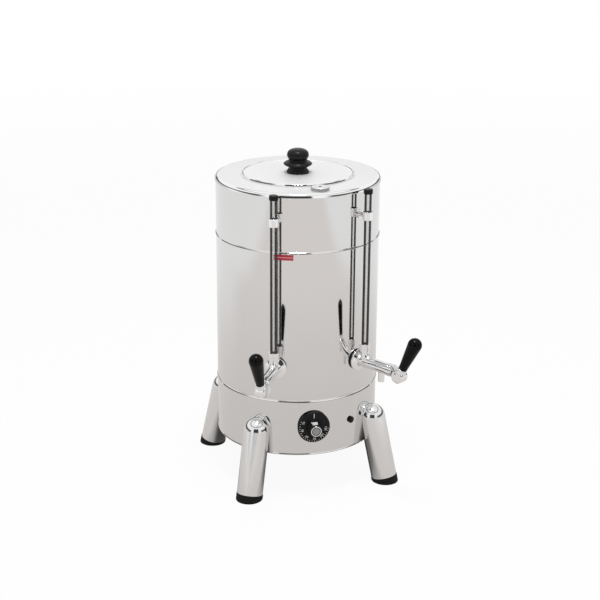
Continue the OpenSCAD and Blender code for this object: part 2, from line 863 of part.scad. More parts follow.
// Wires between the terminal block, the thermostat, the heater and the lamp
module wiring() {
    wire_r = 1.3;
    block_pitch = 7;
    lamp_pitch = 4;
    low_z = skirt_z + 0.35 * skirt_h;
    high_z = skirt_z + 0.6 * skirt_h;
    heater_low = shell_z - heater_end_l - fit_gap;
    thermostat_rear = thermostat_u - thermostat_size[2] - fit_gap;
    lamp_end = lamp_tail_u() - fit_gap;
    near_end = [heater_r * sin(heater_end_angles()[0]), -heater_r * cos(heater_end_angles()[0]), heater_low];
    far_end = [heater_r * sin(heater_end_angles()[1]), -heater_r * cos(heater_end_angles()[1]), heater_low];
    block_top = skirt_z + block_size[2] + fit_gap;
    terminals = [for (i = [0 : 3]) [block_at[0] + block_pitch * (i - 1.5), block_at[1], block_top]];
    routes = [
        [
            terminals[0],
            terminals[0] + [0, 0, 16],
            near_end - [0, 0, 17],
            near_end
        ],
        [
            side_point(dial_angle, dial_z, -9, 4, thermostat_rear),
            side_point(dial_angle, dial_z, -9, 4, thermostat_rear - 18),
            [-0.28 * heater_r, -0.17 * heater_r, high_z],
            [far_end[0], far_end[1] - 14, high_z - 4],
            far_end - [0, 0, 13],
            far_end
        ],
        [
            side_point(dial_angle, dial_z, 9, -4, thermostat_rear),
            side_point(dial_angle, dial_z, 9, -4, thermostat_rear - 18),
            [0.24 * heater_r, 0.17 * heater_r, low_z],
            terminals[1] + [0, -4, 14],
            terminals[1] + [0, 0, 6],
            terminals[1]
        ],
        for (i = [0, 1])
            [
                side_point(lamp_angle, lamp_z, lamp_pitch * (i - 0.5), 0, lamp_end),
                side_point(lamp_angle, lamp_z, lamp_pitch * (i - 0.5), 0, lamp_end - 12),
                [0.8 * heater_r + 2 * lamp_pitch * i, -0.35 * heater_r, low_z],
                terminals[2 + i] + [0, -6, 14],
                terminals[2 + i] + [0, 0, 6],
                terminals[2 + i]
            ]
    ];
    color("saddlebrown")
        for (route = routes)
            swept_tube(smooth_run(route, 4), wire_r, 8, [1, 0, 0]);
}

// Rubber gland at the back, where the mains lead comes in, with a square neck that can't turn in the skirt
module cord_gland() {
    color("black")
        on_side(180, gland_z)
            difference() {
                union() {
                    square_between(gland_w, gland_inside_u - gland_flange_t / 2, body_r + gland_flange_t / 2);
                    cylinder_between(gland_flange_d / 2, gland_inside_u - gland_flange_t, gland_inside_u);
                    cylinder_between(gland_flange_d / 2, body_r + fit_gap, body_r + gland_flange_t);
                }
                cylinder_between(gland_bore_d / 2, inner_r / 2, body_r + gland_flange_t + cut);
            }
}

// Distance from the axis to the inner end of the lamp
function lamp_tail_u() = body_r - lamp_body_l;

// Bezel and body of the pilot lamp
module lamp_bezel() {
    color("black")
        on_side(lamp_angle, lamp_z)
            difference() {
                union() {
                    cylinder_between(lamp_body_d / 2, lamp_tail_u(), lamp_face_u);
                    cylinder_between(lamp_d / 2, body_r + fit_gap, lamp_face_u);
                }
                cylinder_between(lens_d / 2 + fit_gap, lamp_face_u - lens_l, lamp_face_u + cut);
            }
}

// Domed lens of the pilot lamp
module lamp_lens() {
    lens_r = lens_d / 2;
    dome_r = (pow(lens_r, 2) + pow(lens_dome_h, 2)) / (2 * lens_dome_h);
    color("darkred")
        on_side(lamp_angle, lamp_z) {
            cylinder_between(lens_r, lamp_face_u - lens_l, lamp_face_u);
            intersection() {
                translate([0, 0, lamp_face_u + lens_dome_h - dome_r]) sphere(dome_r);
                cylinder_between(lens_r, lamp_face_u, lamp_face_u + lens_dome_h);
            }
        }
}

// Red strip that marks the highest water level
module level_mark() {
    color("red")
        rotate([0, 0, mark_angle - 90])
            rotate_extrude(angle = mark_span)
                translate([body_r + fit_gap / 2, bead_z - bead_r - mark_drop - mark_h])
                    square([mark_t, mark_h]);
}

// Places children on a leg's own axis, with z up along the leg and zero at the body's lower edge
module on_leg(angle) {
    rotate([0, 0, angle])
        translate([0, -body_r - leg_out, ground_gap])
            rotate([-leg_tilt, 0, 0])
                children();
}

// Cast leg with a round top, cut to sit against the skirt and hollow from below
module leg(angle) {
    color("silver")
        difference() {
            on_leg(angle)
                difference() {
                    union() {
                        translate([0, 0, -leg_end]) cylinder(r = leg_r, h = leg_end + leg_top);
                        translate([0, 0, leg_top]) sphere(leg_r);
                    }
                    translate([0, 0, -leg_end - cut])
                        cylinder(r = leg_r - leg_wall, h = leg_end - leg_solid - leg_r * tan(leg_tilt) + cut);
                }
            translate([0, 0, skirt_z]) cylinder(r = body_r + fit_gap, h = shell_h);
            for (rise = leg_bolt_rise)
                on_side(angle, skirt_z + rise)
                    translate([0, 0, body_r / 2])
                        cylinder(d = leg_bolt_d + 2 * fit_gap, h = body_r / 2 + leg_bolt_l + cut);
        }
}

// Rubber foot with a plug in the leg and a flat sole on the table
module foot(angle) {
    color("black")
        intersection() {
            on_leg(angle) {
                translate([0, 0, -leg_end - 3 * foot_h]) cylinder(r = leg_r + foot_lip, h = 3 * foot_h);
                translate([0, 0, -leg_end - cut])
                    cylinder(r = leg_r - leg_wall - fit_gap, h = foot_plug_h + cut);
            }
            cylinder(r = 2 * body_r, h = ground_gap);
        }
}

// Bolts from inside the skirt into the legs
module leg_bolts() {
    color("dimgray")
        for (angle = leg_angles, rise = leg_bolt_rise)
            on_side(angle, skirt_z + rise) {
                translate([0, 0, leg_bolt_head_u - leg_bolt_head_t])
                    cylinder(r = leg_bolt_head_r, h = leg_bolt_head_t, $fn = 6);
                cylinder_between(leg_bolt_d / 2, leg_bolt_head_u - cut, body_r + leg_bolt_l);
            }
}

// Rubber gaskets between the tap flanges and the round shell
module tap_gaskets() {
    color("dimgray")
        for (angle = [tap_angle, -tap_angle])
            difference() {
                on_side(angle, tap_z)
                    difference() {
                        cylinder_between(flange_r - flange_step, body_r / 2, flange_u);
                        cylinder_between(shank_d / 2 + fit_gap, body_r / 2 - cut, flange_u + cut);
                    }
                translate([0, 0, shell_z]) cylinder(r = body_r + fit_gap / 2, h = shell_h, $fn = 360);
            }
}

// Lock nuts on the shanks: one inside the shell at each tap, and two that clamp the coffee pot's wall
module tap_locknuts() {
    nut_bore_r = shank_d / 2 + fit_gap;
    color("goldenrod") {
        for (angle = [tap_angle, -tap_angle])
            on_side(angle, tap_z)
                translate([0, 0, shell_nut_u - locknut_t])
                    hex_nut(locknut_d, nut_bore_r, locknut_t);
        on_side(tap_angle, tap_z) {
            translate([0, 0, pot_nut_in_u - locknut_t]) hex_nut(locknut_d, nut_bore_r, locknut_t);
            translate([0, 0, pot_nut_out_u]) hex_nut(locknut_d, nut_bore_r, locknut_t);
        }
    }
}

// Cast tap: shank, flange, barrel with the valve seat, spout, and the socket of the sight tube on an elbow
module tap_body(angle, shank_end_u) {
    color("silver")
        on_side(angle, tap_z)
            difference() {
                union() {
                    cylinder_between(shank_d / 2, shank_end_u, flange_u + flange_t);
                    cylinder_between(flange_r, flange_u, flange_u + flange_t);
                    translate([0, 0, flange_u + flange_t])
                        cylinder(r1 = flange_r - flange_step, r2 = barrel_d / 2, h = flange_cone_h);
                    cylinder_between(barrel_d / 2, flange_u + flange_t, barrel_u);
                    translate([0, 0, socket_u]) upward() cylinder(d = socket_d, h = socket_h);
                    translate([0, elbow_bend, socket_u + elbow_bend])
                        rotate([0, -90, 0])
                            rotate([0, 0, 180])
                                rotate_extrude(angle = 90)
                                    translate([elbow_bend, 0]) circle(d = elbow_d);
                    translate([0, -spout_l, spout_u]) upward() cylinder(d = spout_d, h = spout_l);
                }
                cylinder_between(bore_d / 2, shank_end_u - cut, seat_u + cut);
                cylinder_between(chamber_d / 2, seat_u, barrel_u + cut);
                translate([0, 0, socket_u]) upward() cylinder(r = tube_r - glass_t, h = socket_h);
                translate([0, socket_h - tube_seat, socket_u])
                    upward() cylinder(d = tube_d + 2 * fit_gap, h = tube_seat + cut);
                translate([0, -spout_l - cut, spout_u])
                    upward() cylinder(d = spout_bore_d, h = spout_l + cut);
            }
}

// Bonnet that closes the barrel and guides the plunger's rod
module tap_bonnet(angle) {
    groove_r = 0.6;
    color("silver")
        on_side(angle, tap_z)
            difference() {
                union() {
                    cylinder_between(bonnet_d / 2, barrel_u, bonnet_u);
                    cylinder_between(chamber_d / 2 - fit_gap, barrel_u - bonnet_spigot_l, barrel_u + cut);
                }
                cylinder_between(rod_d / 2 + run_gap, barrel_u - bonnet_spigot_l - cut, bonnet_u + cut);
                cylinder_between(rod_d / 2 + run_gap + oring_w, oring_u, oring_u + oring_t);
                for (share = [1 / 3, 2 / 3])
                    translate([0, 0, barrel_u + bonnet_l * share])
                        rotate_extrude() translate([bonnet_d / 2, 0]) circle(groove_r);
            }
}

// Rubber rings in the bonnets that keep the rods tight
module stem_orings() {
    color("black")
        for (angle = [tap_angle, -tap_angle])
            on_side(angle, tap_z)
                translate([0, 0, oring_u])
                    pipe(rod_d / 2 + run_gap + oring_w, rod_d / 2 + run_gap, oring_t);
}

// Plunger: a rod with the seal's plate at one end and an eye for the lever's pin at the other
module tap_stem(angle) {
    color("lightgray")
        on_side(angle, tap_z)
            difference() {
                union() {
                    cylinder_between(rod_d / 2, seat_u + seal_t, pin_u);
                    cylinder_between(seal_r, seat_u + seal_t, spring_u);
                    across(eye_t) translate([pin_u, 0]) circle(eye_r);
                }
                across(eye_t + 2 * cut) translate([pin_u, 0]) circle(pin_d / 2 + run_gap);
            }
}

// Rubber disc that closes the valve seat
module tap_seal(angle) {
    color("black")
        on_side(angle, tap_z)
            cylinder_between(seal_r, seat_u, seat_u + seal_t);
}

// Spring that pushes the plunger back on its seat
module tap_spring(angle) {
    stations = 10;
    wire_r = spring_wire_d / 2;
    rise = spring_l - 2 * wire_r - 2 * move_gap;
    turns = [for (i = [0 : spring_turns * stations]) i / stations];
    start_u = spring_u + wire_r + move_gap;
    path = [
        for (t = turns)
            [spring_r * cos(360 * t), spring_r * sin(360 * t), start_u + rise * t / spring_turns]
    ];
    color("gray")
        on_side(angle, tap_z)
            swept_tube(path, wire_r, 6, [0, 0, 1]);
}

// Places children at the middle of a lever's cam, with z along its handle
module on_lever(angle) {
    on_side(angle, tap_z)
        translate([0, cam_y, cam_u])
            rotate([handle_tilt - 90, 0, 0])
                children();
}

// Lever: a round cam with a fork over the plunger's eye, a ferrule and the handle's stud
module lever(angle) {
    color("silver")
        difference() {
            union() {
                on_side(angle, tap_z)
                    translate([0, cam_y, cam_u])
                        rotate([0, 90, 0])
                            rotate_extrude() cam_profile();
                on_lever(angle) {
                    cylinder(r = ferrule_r, h = handle_start);
                    cylinder(d = stud_d, h = handle_start + stud_l);
                }
            }
            on_side(angle, tap_z) {
                across(slot_w) translate([pin_u, 0]) fork_slot();
                across(fork_w + 2 * cut) translate([pin_u, 0]) circle(pin_d / 2 + run_gap / 2);
            }
        }
}

// Half section of the cam, with rounded edges
module cam_profile() {
    side = fork_w / 2;
    translate([0, -side]) square([cam_r - fork_edge, fork_w]);
    translate([0, fork_edge - side]) square([cam_r, fork_w - 2 * fork_edge]);
    for (end = [-1, 1])
        translate([cam_r - fork_edge, end * (side - fork_edge)]) circle(fork_edge);
}

// Outline of the fork's slot: room for the eye, and for the rod at every angle of the lever
module fork_slot() {
    rod_room = rod_d / 2 + 2 * move_gap;
    reach = 3 * cam_r;
    low = [-cos(lever_travel), -sin(lever_travel)];
    low_side = [sin(lever_travel), -cos(lever_travel)] * rod_room;
    circle(eye_r + 2 * move_gap);
    polygon([[0, rod_room], [-reach, rod_room], low * reach + low_side, low_side]);
}

// Black moulded handle, slim at its foot and round at its end
module lever_handle(angle) {
    ball_s = handle_l - handle_ball_r;
    // The cone meets the round end a hair inside its surface, so that the two blend
    blend_depth = 0.02;
    meet_r = handle_ball_r - blend_depth;
    meet_angle = atan2(-ball_s, handle_foot_r) + acos(meet_r / norm([handle_foot_r, ball_s]));
    meet = [meet_r * cos(meet_angle), ball_s + meet_r * sin(meet_angle)];
    color("black")
        on_lever(angle)
            translate([0, 0, handle_start])
                difference() {
                    rotate_extrude() {
                        polygon([[0, 0], [handle_foot_r, 0], meet, [0, ball_s]]);
                        intersection() {
                            translate([0, ball_s]) circle(handle_ball_r);
                            translate([0, ball_s - handle_ball_r]) square(2 * handle_ball_r);
                        }
                    }
                    translate([0, 0, -cut]) cylinder(d = stud_d + 2 * fit_gap, h = stud_l + 2 * cut);
                }
}

// Pin through the fork and the plunger's eye
module lever_pin(angle) {
    color("gray")
        on_side(angle, tap_z)
            across(fork_w - 2 * fit_gap) translate([pin_u, 0]) circle(pin_d / 2);
}

// Places children on a sight tube's axis, with z up from the tap's barrel
module on_tube(angle) {
    rotate([0, 0, angle])
        translate([0, -socket_u, tap_z])
            children();
}

// Glass sight tube from the tap's socket to the top of the urn
module sight_tube(angle) {
    color("lightcyan", 0.5)
        on_tube(angle)
            translate([0, 0, tube_z - tap_z])
                pipe(tube_r, tube_r - glass_t, tube_top - tube_z);
}

// Ribbed nuts that squeeze the packing round the tubes
module tube_packing_nuts() {
    ribs = 18;
    rib_r = 0.45;
    plain_top = 1;
    nut_r = packing_nut_d / 2;
    low = socket_h - packing_nut_lap;
    color("silver")
        for (angle = [tap_angle, -tap_angle])
            on_tube(angle)
                difference() {
                    translate([0, 0, low]) cylinder(r = nut_r, h = packing_nut_top - low);
                    translate([0, 0, low - cut])
                        cylinder(d = socket_d + 2 * fit_gap, h = packing_nut_lap + packing_t + cut);
                    translate([0, 0, low]) cylinder(r = tube_r + fit_gap, h = packing_nut_top);
                    for (i = [0 : ribs - 1])
                        rotate([0, 0, 360 * i / ribs])
                            translate([nut_r, 0, low - cut])
                                cylinder(r = rib_r, h = packing_nut_top - low - plain_top + cut);
                }
}

// Rubber packing between the sockets and the packing nuts
module tube_packing_rings() {
    color("dimgray")
        for (angle = [tap_angle, -tap_angle])
            on_tube(angle)
                translate([0, 0, socket_h])
                    pipe(socket_d / 2, tube_r + fit_gap / 2, packing_t);
}

// Black cap on top of a sight tube
module tube_cap(angle) {
    edge = 1;
    cap_r = tube_cap_d / 2;
    color("black")
        on_tube(angle)
            translate([0, 0, tube_cap_z - tap_z])
                difference() {
                    union() {
                        cylinder(r = cap_r, h = tube_cap_h - edge);
                        translate([0, 0, tube_cap_h - edge])
                            cylinder(r1 = cap_r, r2 = cap_r - edge, h = edge);
                    }
                    translate([0, 0, -cut])
                        cylinder(r = tube_r + fit_gap, h = tube_cap_h - tube_cap_top + cut);
                }
}

// Clip that holds a tube to the shell: a band, an arm, a foot and a stud through the sheet
module tube_clip(angle) {
    color("silver")
        difference() {
            union() {
                on_tube(angle)
                    translate([0, 0, clip_z - tap_z - clip_h / 2])
                        cylinder(r = tube_r + fit_gap + clip_t, h = clip_h);
                on_side(angle, clip_z)
                    difference() {
                        union() {
                            cylinder_between(clip_arm_d / 2, inner_r, socket_u);
                            cylinder_between(clip_foot_r, inner_r, body_r + clip_foot_t);
                        }
                        rotate([90, 0, 0]) cylinder(r = body_r + fit_gap / 2, h = shell_h, center = true);
                    }
                on_side(angle, clip_z)
                    cylinder_between(clip_stud_d / 2, inner_r - clip_stud_l, body_r + clip_foot_t);
            }
            on_tube(angle)
                translate([0, 0, clip_z - tap_z - clip_h])
                    cylinder(r = tube_r + fit_gap, h = 2 * clip_h);
        }
}

// Black dial: a bevelled disc and a tapered hub with a grip flat
module dial() {
    color("black")
        on_side(dial_angle, dial_z)
            difference() {
                union() {
                    cylinder_between(dial_d / 2, dial_u, hub_u - dial_bevel);
                    translate([0, 0, hub_u - dial_bevel])
                        cylinder(r1 = dial_d / 2, r2 = dial_d / 2 - dial_bevel, h = dial_bevel);
                    difference() {
                        translate([0, 0, hub_u - dial_bevel])
                            cylinder(r1 = hub_root_r, r2 = hub_end_r, h = hub_l + dial_bevel);
                        translate([-hub_root_r, hub_flat, hub_u])
                            cube([2 * hub_root_r, hub_root_r, hub_l + cut]);
                    }
                }
                cylinder_between(shaft_d / 2 + run_gap, dial_u - cut, shaft_end_u + move_gap);
                cylinder_between(hub_cap_r + fit_gap, hub_end_u - hub_cap_t / 2, hub_end_u + cut);
            }
}

// Plain metal cap set in the end of the dial's hub
module dial_cap() {
    color("lightgray")
        on_side(dial_angle, dial_z)
            cylinder_between(hub_cap_r, hub_end_u - hub_cap_t / 2, hub_end_u + hub_cap_t / 2);
}

// Shaft from the thermostat into the dial
module thermostat_shaft() {
    color("gray")
        on_side(dial_angle, dial_z)
            cylinder_between(shaft_d / 2, shaft_start_u, shaft_end_u);
}

outer_shell();
base_skirt();
tank_floor();
base_cover();
base_screws();
top_cover();
coffee_pot();
heater();
heater_nuts();
thermostat();
thermostat_bulb();
terminal_block();
wiring();
cord_gland();
lamp_bezel();
lamp_lens();
level_mark();
leg_bolts();
leg(leg_angles[0]);  // leg_front_right
leg(leg_angles[1]);  // leg_rear_right
leg(leg_angles[2]);  // leg_rear_left
leg(leg_angles[3]);  // leg_front_left
foot(leg_angles[0]);  // foot_front_right
foot(leg_angles[1]);  // foot_rear_right
foot(leg_angles[2]);  // foot_rear_left
foot(leg_angles[3]);  // foot_front_left
tap_gaskets();
tap_locknuts();
stem_orings();
tube_packing_nuts();
tube_packing_rings();
tap_body(tap_angle, coffee_shank_u);  // coffee_tap_body
tap_body(-tap_angle, water_shank_u);  // water_tap_body
tap_bonnet(tap_angle);  // coffee_tap_bonnet
tap_bonnet(-tap_angle);  // water_tap_bonnet
sight_tube(tap_angle);  // coffee_sight_tube
sight_tube(-tap_angle);  // water_sight_tube
tube_cap(tap_angle);  // coffee_tube_cap
tube_cap(-tap_angle);  // water_tube_cap
tube_clip(tap_angle);  // coffee_tube_clip
tube_clip(-tap_angle);  // water_tube_clip
tap_spring(tap_angle);  // coffee_tap_spring
tap_spring(-tap_angle);  // water_tap_spring
lid();
lid_knob();
lid_knob_screw();
fill_cap();
dial();
dial_cap();
thermostat_shaft();
tap_stem(tap_angle);  // coffee_tap_stem
tap_seal(tap_angle);  // coffee_tap_seal
lever(tap_angle);  // coffee_lever
lever_handle(tap_angle);  // coffee_lever_handle
lever_pin(tap_angle);  // coffee_lever_pin
tap_stem(-tap_angle);  // water_tap_stem
tap_seal(-tap_angle);  // water_tap_seal
lever(-tap_angle);  // water_lever
lever_handle(-tap_angle);  // water_lever_handle
lever_pin(-tap_angle);  // water_lever_pin
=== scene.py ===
# A coffee urn with a water bath, two lever taps and glass sight tubes, in a plain pale studio.
# Lengths are in metres. The urn stands on z = 0 round the Z axis, and its front faces -Y.
import json
import math

import bmesh
import bpy
from mathutils import Matrix, Vector

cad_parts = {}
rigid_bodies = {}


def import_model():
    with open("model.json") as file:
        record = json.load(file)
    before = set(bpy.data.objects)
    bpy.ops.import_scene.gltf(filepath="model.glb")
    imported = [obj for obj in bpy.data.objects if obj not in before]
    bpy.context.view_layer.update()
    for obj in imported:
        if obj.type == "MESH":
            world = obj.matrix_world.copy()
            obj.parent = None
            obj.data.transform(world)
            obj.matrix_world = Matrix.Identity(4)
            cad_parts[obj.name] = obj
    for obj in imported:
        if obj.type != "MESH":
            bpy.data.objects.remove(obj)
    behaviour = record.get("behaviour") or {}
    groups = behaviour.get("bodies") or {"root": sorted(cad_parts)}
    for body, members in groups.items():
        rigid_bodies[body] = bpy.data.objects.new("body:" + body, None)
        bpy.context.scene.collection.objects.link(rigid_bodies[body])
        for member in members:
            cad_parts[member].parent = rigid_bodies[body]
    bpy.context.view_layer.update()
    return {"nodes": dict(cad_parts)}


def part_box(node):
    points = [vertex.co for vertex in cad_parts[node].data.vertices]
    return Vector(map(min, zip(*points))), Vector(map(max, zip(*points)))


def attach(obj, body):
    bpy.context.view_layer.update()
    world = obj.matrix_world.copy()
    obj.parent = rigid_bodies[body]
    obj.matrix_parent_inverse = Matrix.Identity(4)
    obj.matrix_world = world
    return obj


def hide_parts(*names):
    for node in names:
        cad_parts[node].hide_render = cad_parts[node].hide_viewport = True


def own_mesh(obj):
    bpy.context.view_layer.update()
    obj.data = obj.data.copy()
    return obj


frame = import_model()

# Studio
# A plain pale floor in soft light, with a small lamp high in front of the urn. Polished metal also sees a
# dark stand round the camera, the dim lower walls of the room and a dim ring round its ceiling lights.
MM = 0.001


class Wire:
    """One socket of a shader. Sums with it add Math nodes, and node() adds any other node to its tree."""

    def __init__(self, socket):
        self.socket = socket

    def feed(self, made, inputs):
        for name, value in inputs.items():
            if isinstance(value, Wire):
                made.id_data.links.new(value.socket, made.inputs[name])
            else:
                made.inputs[name].default_value = value

    def node(self, kind, settings, inputs, output=0):
        made = self.socket.id_data.nodes.new(kind)
        for name, value in settings.items():
            setattr(made, name, value)
        self.feed(made, inputs)
        return Wire(made.outputs[output])

    def calculate(self, operation, first, second):
        return self.node("ShaderNodeMath", {"operation": operation}, {0: first, 1: second})

    def __add__(self, other):
        return self.calculate("ADD", self, other)

    def __sub__(self, other):
        return self.calculate("SUBTRACT", self, other)

    def __rsub__(self, other):
        return self.calculate("SUBTRACT", other, self)

    def __mul__(self, other):
        return self.calculate("MULTIPLY", self, other)

    def __truediv__(self, other):
        return self.calculate("DIVIDE", self, other)

    def __pow__(self, other):
        return self.calculate("POWER", self, other)

    __radd__ = __add__
    __rmul__ = __mul__


def split(place):
    """The X, Y and Z of a place as three wires."""
    return [place.node("ShaderNodeSeparateXYZ", {}, {"Vector": place}, axis) for axis in "XYZ"]


def fade(value, start, end):
    """0 up to start, 1 from end on, and a soft step between them."""
    settings = {"interpolation_type": "SMOOTHSTEP"}
    inputs = {"Value": value, "From Min": start, "From Max": end}
    return value.node("ShaderNodeMapRange", settings, inputs)


def ray(wire, kind):
    """1 for light paths of a kind, such as those that come from the camera, and 0 for others."""
    return wire.node("ShaderNodeLightPath", {}, {}, kind)


camera_azimuth = math.radians(-16.5)
camera_elevation = math.radians(18.761)
camera_roll = math.radians(0.356)
camera_distance = 2117.25 * MM
camera_aside = 4.34 * MM
camera_aim = 263.3 * MM
lens_length = 84.65
film_width = 36

level = Vector((math.cos(camera_azimuth), math.sin(camera_azimuth), 0))
towards_camera = Vector((math.sin(camera_azimuth), -math.cos(camera_azimuth), 0))
backward = towards_camera * math.cos(camera_elevation) + Vector((0, 0, math.sin(camera_elevation)))
upright = backward.cross(level)
right = level * math.cos(camera_roll) + upright * math.sin(camera_roll)
above = upright * math.cos(camera_roll) - level * math.sin(camera_roll)
target = level * camera_aside + Vector((0, 0, camera_aim))
bpy.ops.object.select_all(action="DESELECT")
bpy.ops.object.camera_add()
camera = bpy.context.object
turn = Matrix((right, above, backward)).transposed().to_4x4()
camera.matrix_world = Matrix.Translation(target + backward * camera_distance) @ turn
camera.data.sensor_width = film_width
camera.data.lens = lens_length
bpy.context.scene.camera = camera
bpy.context.scene.view_settings.view_transform = "Standard"

room = bpy.data.worlds.new("room")
bpy.context.scene.world = room
room.use_nodes = True
sky = room.node_tree.nodes["Background"]
heading = Wire(room.node_tree.nodes.new("ShaderNodeTexCoord").outputs["Generated"])
x, y, z = split(heading)
flat = (x * x + y * y) ** 0.5
shade_azimuth = camera_azimuth - math.radians(3)
ahead = (x * math.sin(shade_azimuth) - y * math.cos(shade_azimuth)) / (flat + 0.0001)
from_floor = fade(z, 0.0, 0.02)
stand = fade(ahead, 0.905, 0.94) * from_floor * (1 - fade(z, 0.5, 0.56))
beside = fade(ahead, -0.98, -0.9) * (1 - fade(ahead, 0.6, 0.8)) * (1 - fade(z, 0.24, 0.32))
behind = (1 - fade(ahead, -0.98, -0.9)) * (1 - fade(z, 0.1, 0.14))
sides = (beside + behind) * from_floor
ceiling = fade(z, 0.66, 0.69) * (1 - fade(z, 0.75, 0.78))
glossy = ray(heading, "Is Glossy Ray")
shown = fade(ray(heading, "Is Camera Ray") + glossy + ray(heading, "Is Transmission Ray"), 0, 1)
soft_light = 0.55
dimmed = 0.95 * stand + 0.88 * sides + 0.65 * ceiling
heading.feed(sky, {
    "Color": (1, 1, 1, 1),
    "Strength": soft_light + (1 - soft_light) * shown - glossy * dimmed})

lamp_place = (-0.12, -0.42, 2.4)
lamp_width = 0.45
lamp_watts = 22
middle_of_urn = Vector((0, 0, 0.25))
bpy.ops.object.light_add(type="AREA", location=lamp_place)
lamp = bpy.context.object
lamp.name = "key_lamp"
lamp.data.size = lamp_width
lamp.data.energy = lamp_watts
lamp.rotation_euler = (middle_of_urn - lamp.location).to_track_quat("-Z", "Y").to_euler()

bpy.ops.mesh.primitive_plane_add(size=14)
floor = bpy.context.object
floor.name = "floor"
pale = bpy.data.materials.new("pale_floor")
pale.use_nodes = True
board = pale.node_tree.nodes["Principled BSDF"]
board.inputs["Base Color"].default_value = (0.97, 0.97, 0.97, 1)
board.inputs["Roughness"].default_value = 0.9
place = Wire(pale.node_tree.nodes.new("ShaderNodeTexCoord").outputs["Object"])
x, y, z = split(place)
glossy = ray(place, "Is Glossy Ray")
away = (x * x + y * y) ** 0.5
ahead = x * towards_camera.x + y * towards_camera.y
aside = x * level.x + y * level.y
# A strip on the camera's side, where metal sees the floor painted dimmer and warmer as shade.
camera_side_shade = (1 - fade(aside * aside, 0.9, 1.5)) * fade(ahead, -0.3, 0.2)
shown = fade(ray(place, "Is Camera Ray") + glossy + ray(place, "Is Transmission Ray"), 0, 1)


def blend(factor, first, second):
    """A colour between two others, each a wire or its red, green and blue."""
    first, second = (end if isinstance(end, Wire) else (*end, 1) for end in (first, second))
    inputs = {"Factor": factor, "A": first, "B": second}
    return factor.node("ShaderNodeMix", {"data_type": "RGBA"}, inputs, "Result")


open_floor = blend(camera_side_shade, (0.93, 0.93, 0.93), (0.83, 0.79, 0.77))
# Round the urn's foot, metal sees the floor painted dark as the urn's shadow.
urn_shadow_in_metal = blend(fade(away, 0.08, 0.2), (0.17, 0.165, 0.16), (0.69, 0.66, 0.64))
near_floor = blend(fade(away, 0.15, 1.3), urn_shadow_in_metal, open_floor)
seen_in_metal = blend(fade(away, 1.95, 2.6), near_floor, (0.64, 0.635, 0.63))
tone = blend(glossy, (1, 1, 1), seen_in_metal)
glow = place.node("ShaderNodeEmission", {}, {"Color": tone})
lit = shown * (0.93 + 0.07 * fade(away, 1.2, 4))
surface = place.node("ShaderNodeMixShader", {}, {"Fac": lit, 1: Wire(board.outputs[0]), 2: glow})
place.feed(pale.node_tree.nodes["Material Output"], {"Surface": surface})
floor.data.materials.append(pale)


# Shell and skirt
# Two rolled and welded stainless sheets, mirror polished by wheels that run round the body.
# The beads that stiffen them are rolled in, and the skirt hides the electrics.
def new_finish(name):
    """A new material, its shader and the place on the piece."""
    finish = bpy.data.materials.new(name)
    finish.use_nodes = True
    nodes = finish.node_tree.nodes
    return finish, nodes["Principled BSDF"], Wire(nodes.new("ShaderNodeTexCoord").outputs["Object"])


def stretched(place, x, y, z):
    """The place, scaled along each axis, for marks that run one way."""
    return place.node("ShaderNodeCombineXYZ", {}, {"X": x, "Y": y, "Z": z})


def noise(place, scale, detail):
    """Cloudy grey noise between 0 and 1, for wear, grain and dust."""
    return place.node("ShaderNodeTexNoise", {}, {"Vector": place, "Scale": scale, "Detail": detail})


def relief(height, depth, strength):
    """The normal of a surface with this height, from 0 to 1 over a depth in metres."""
    return height.node("ShaderNodeBump", {}, {"Height": height, "Distance": depth, "Strength": strength})


def round_axis(place):
    """The distance from the urn's axis and the angle round it."""
    x, y, z = split(place)
    return (x * x + y * y) ** 0.5, x.calculate("ARCTAN2", x, y)


def dress(finish, *names):
    """Puts a finish on solids that are shown as they are."""
    for name in names:
        frame["nodes"][name].material_slots[0].material = finish


mirror_steel, shader, place = new_finish("mirror_steel")
radius, angle = round_axis(place)
height = split(place)[2]
wheel_marks = noise(stretched(place, angle * 4, height * 1700, 0), 1.0, 4.0)
smears = noise(place, 22, 3.0)
ripple = noise(place, 13, 1.0)
place.feed(shader, {
    "Base Color": blend(smears, (0.73, 0.728, 0.724), (0.76, 0.758, 0.754)),
    "Metallic": 1,
    "Roughness": 0.035 + 0.03 * wheel_marks + 0.02 * smears,
    "Normal": relief(ripple, 0.4 * MM, 0.12)})
dress(mirror_steel, "outer_shell", "base_skirt")

# Tank floor, base plate and fasteners
# Plain steel straight from the mill, pressed and punched. The plate closes the skirt from below with
# pan-head screws. It has a faint rolling grain and dull spots, and none of it is polished.
mill_steel, shader, place = new_finish("mill_steel")
x, y, z = split(place)
grain = noise(stretched(place, x * 40, y * 900, z * 900), 1.0, 3.0)
spots = noise(place, 120, 3.0)
place.feed(shader, {
    "Base Color": blend(spots, (0.42, 0.42, 0.42), (0.56, 0.56, 0.55)),
    "Metallic": 1,
    "Roughness": 0.28 + 0.2 * grain,
    "Normal": relief(grain, 0.05 * MM, 0.25)})
dress(mill_steel, "tank_floor", "base_cover", "base_screws", "leg_bolts")
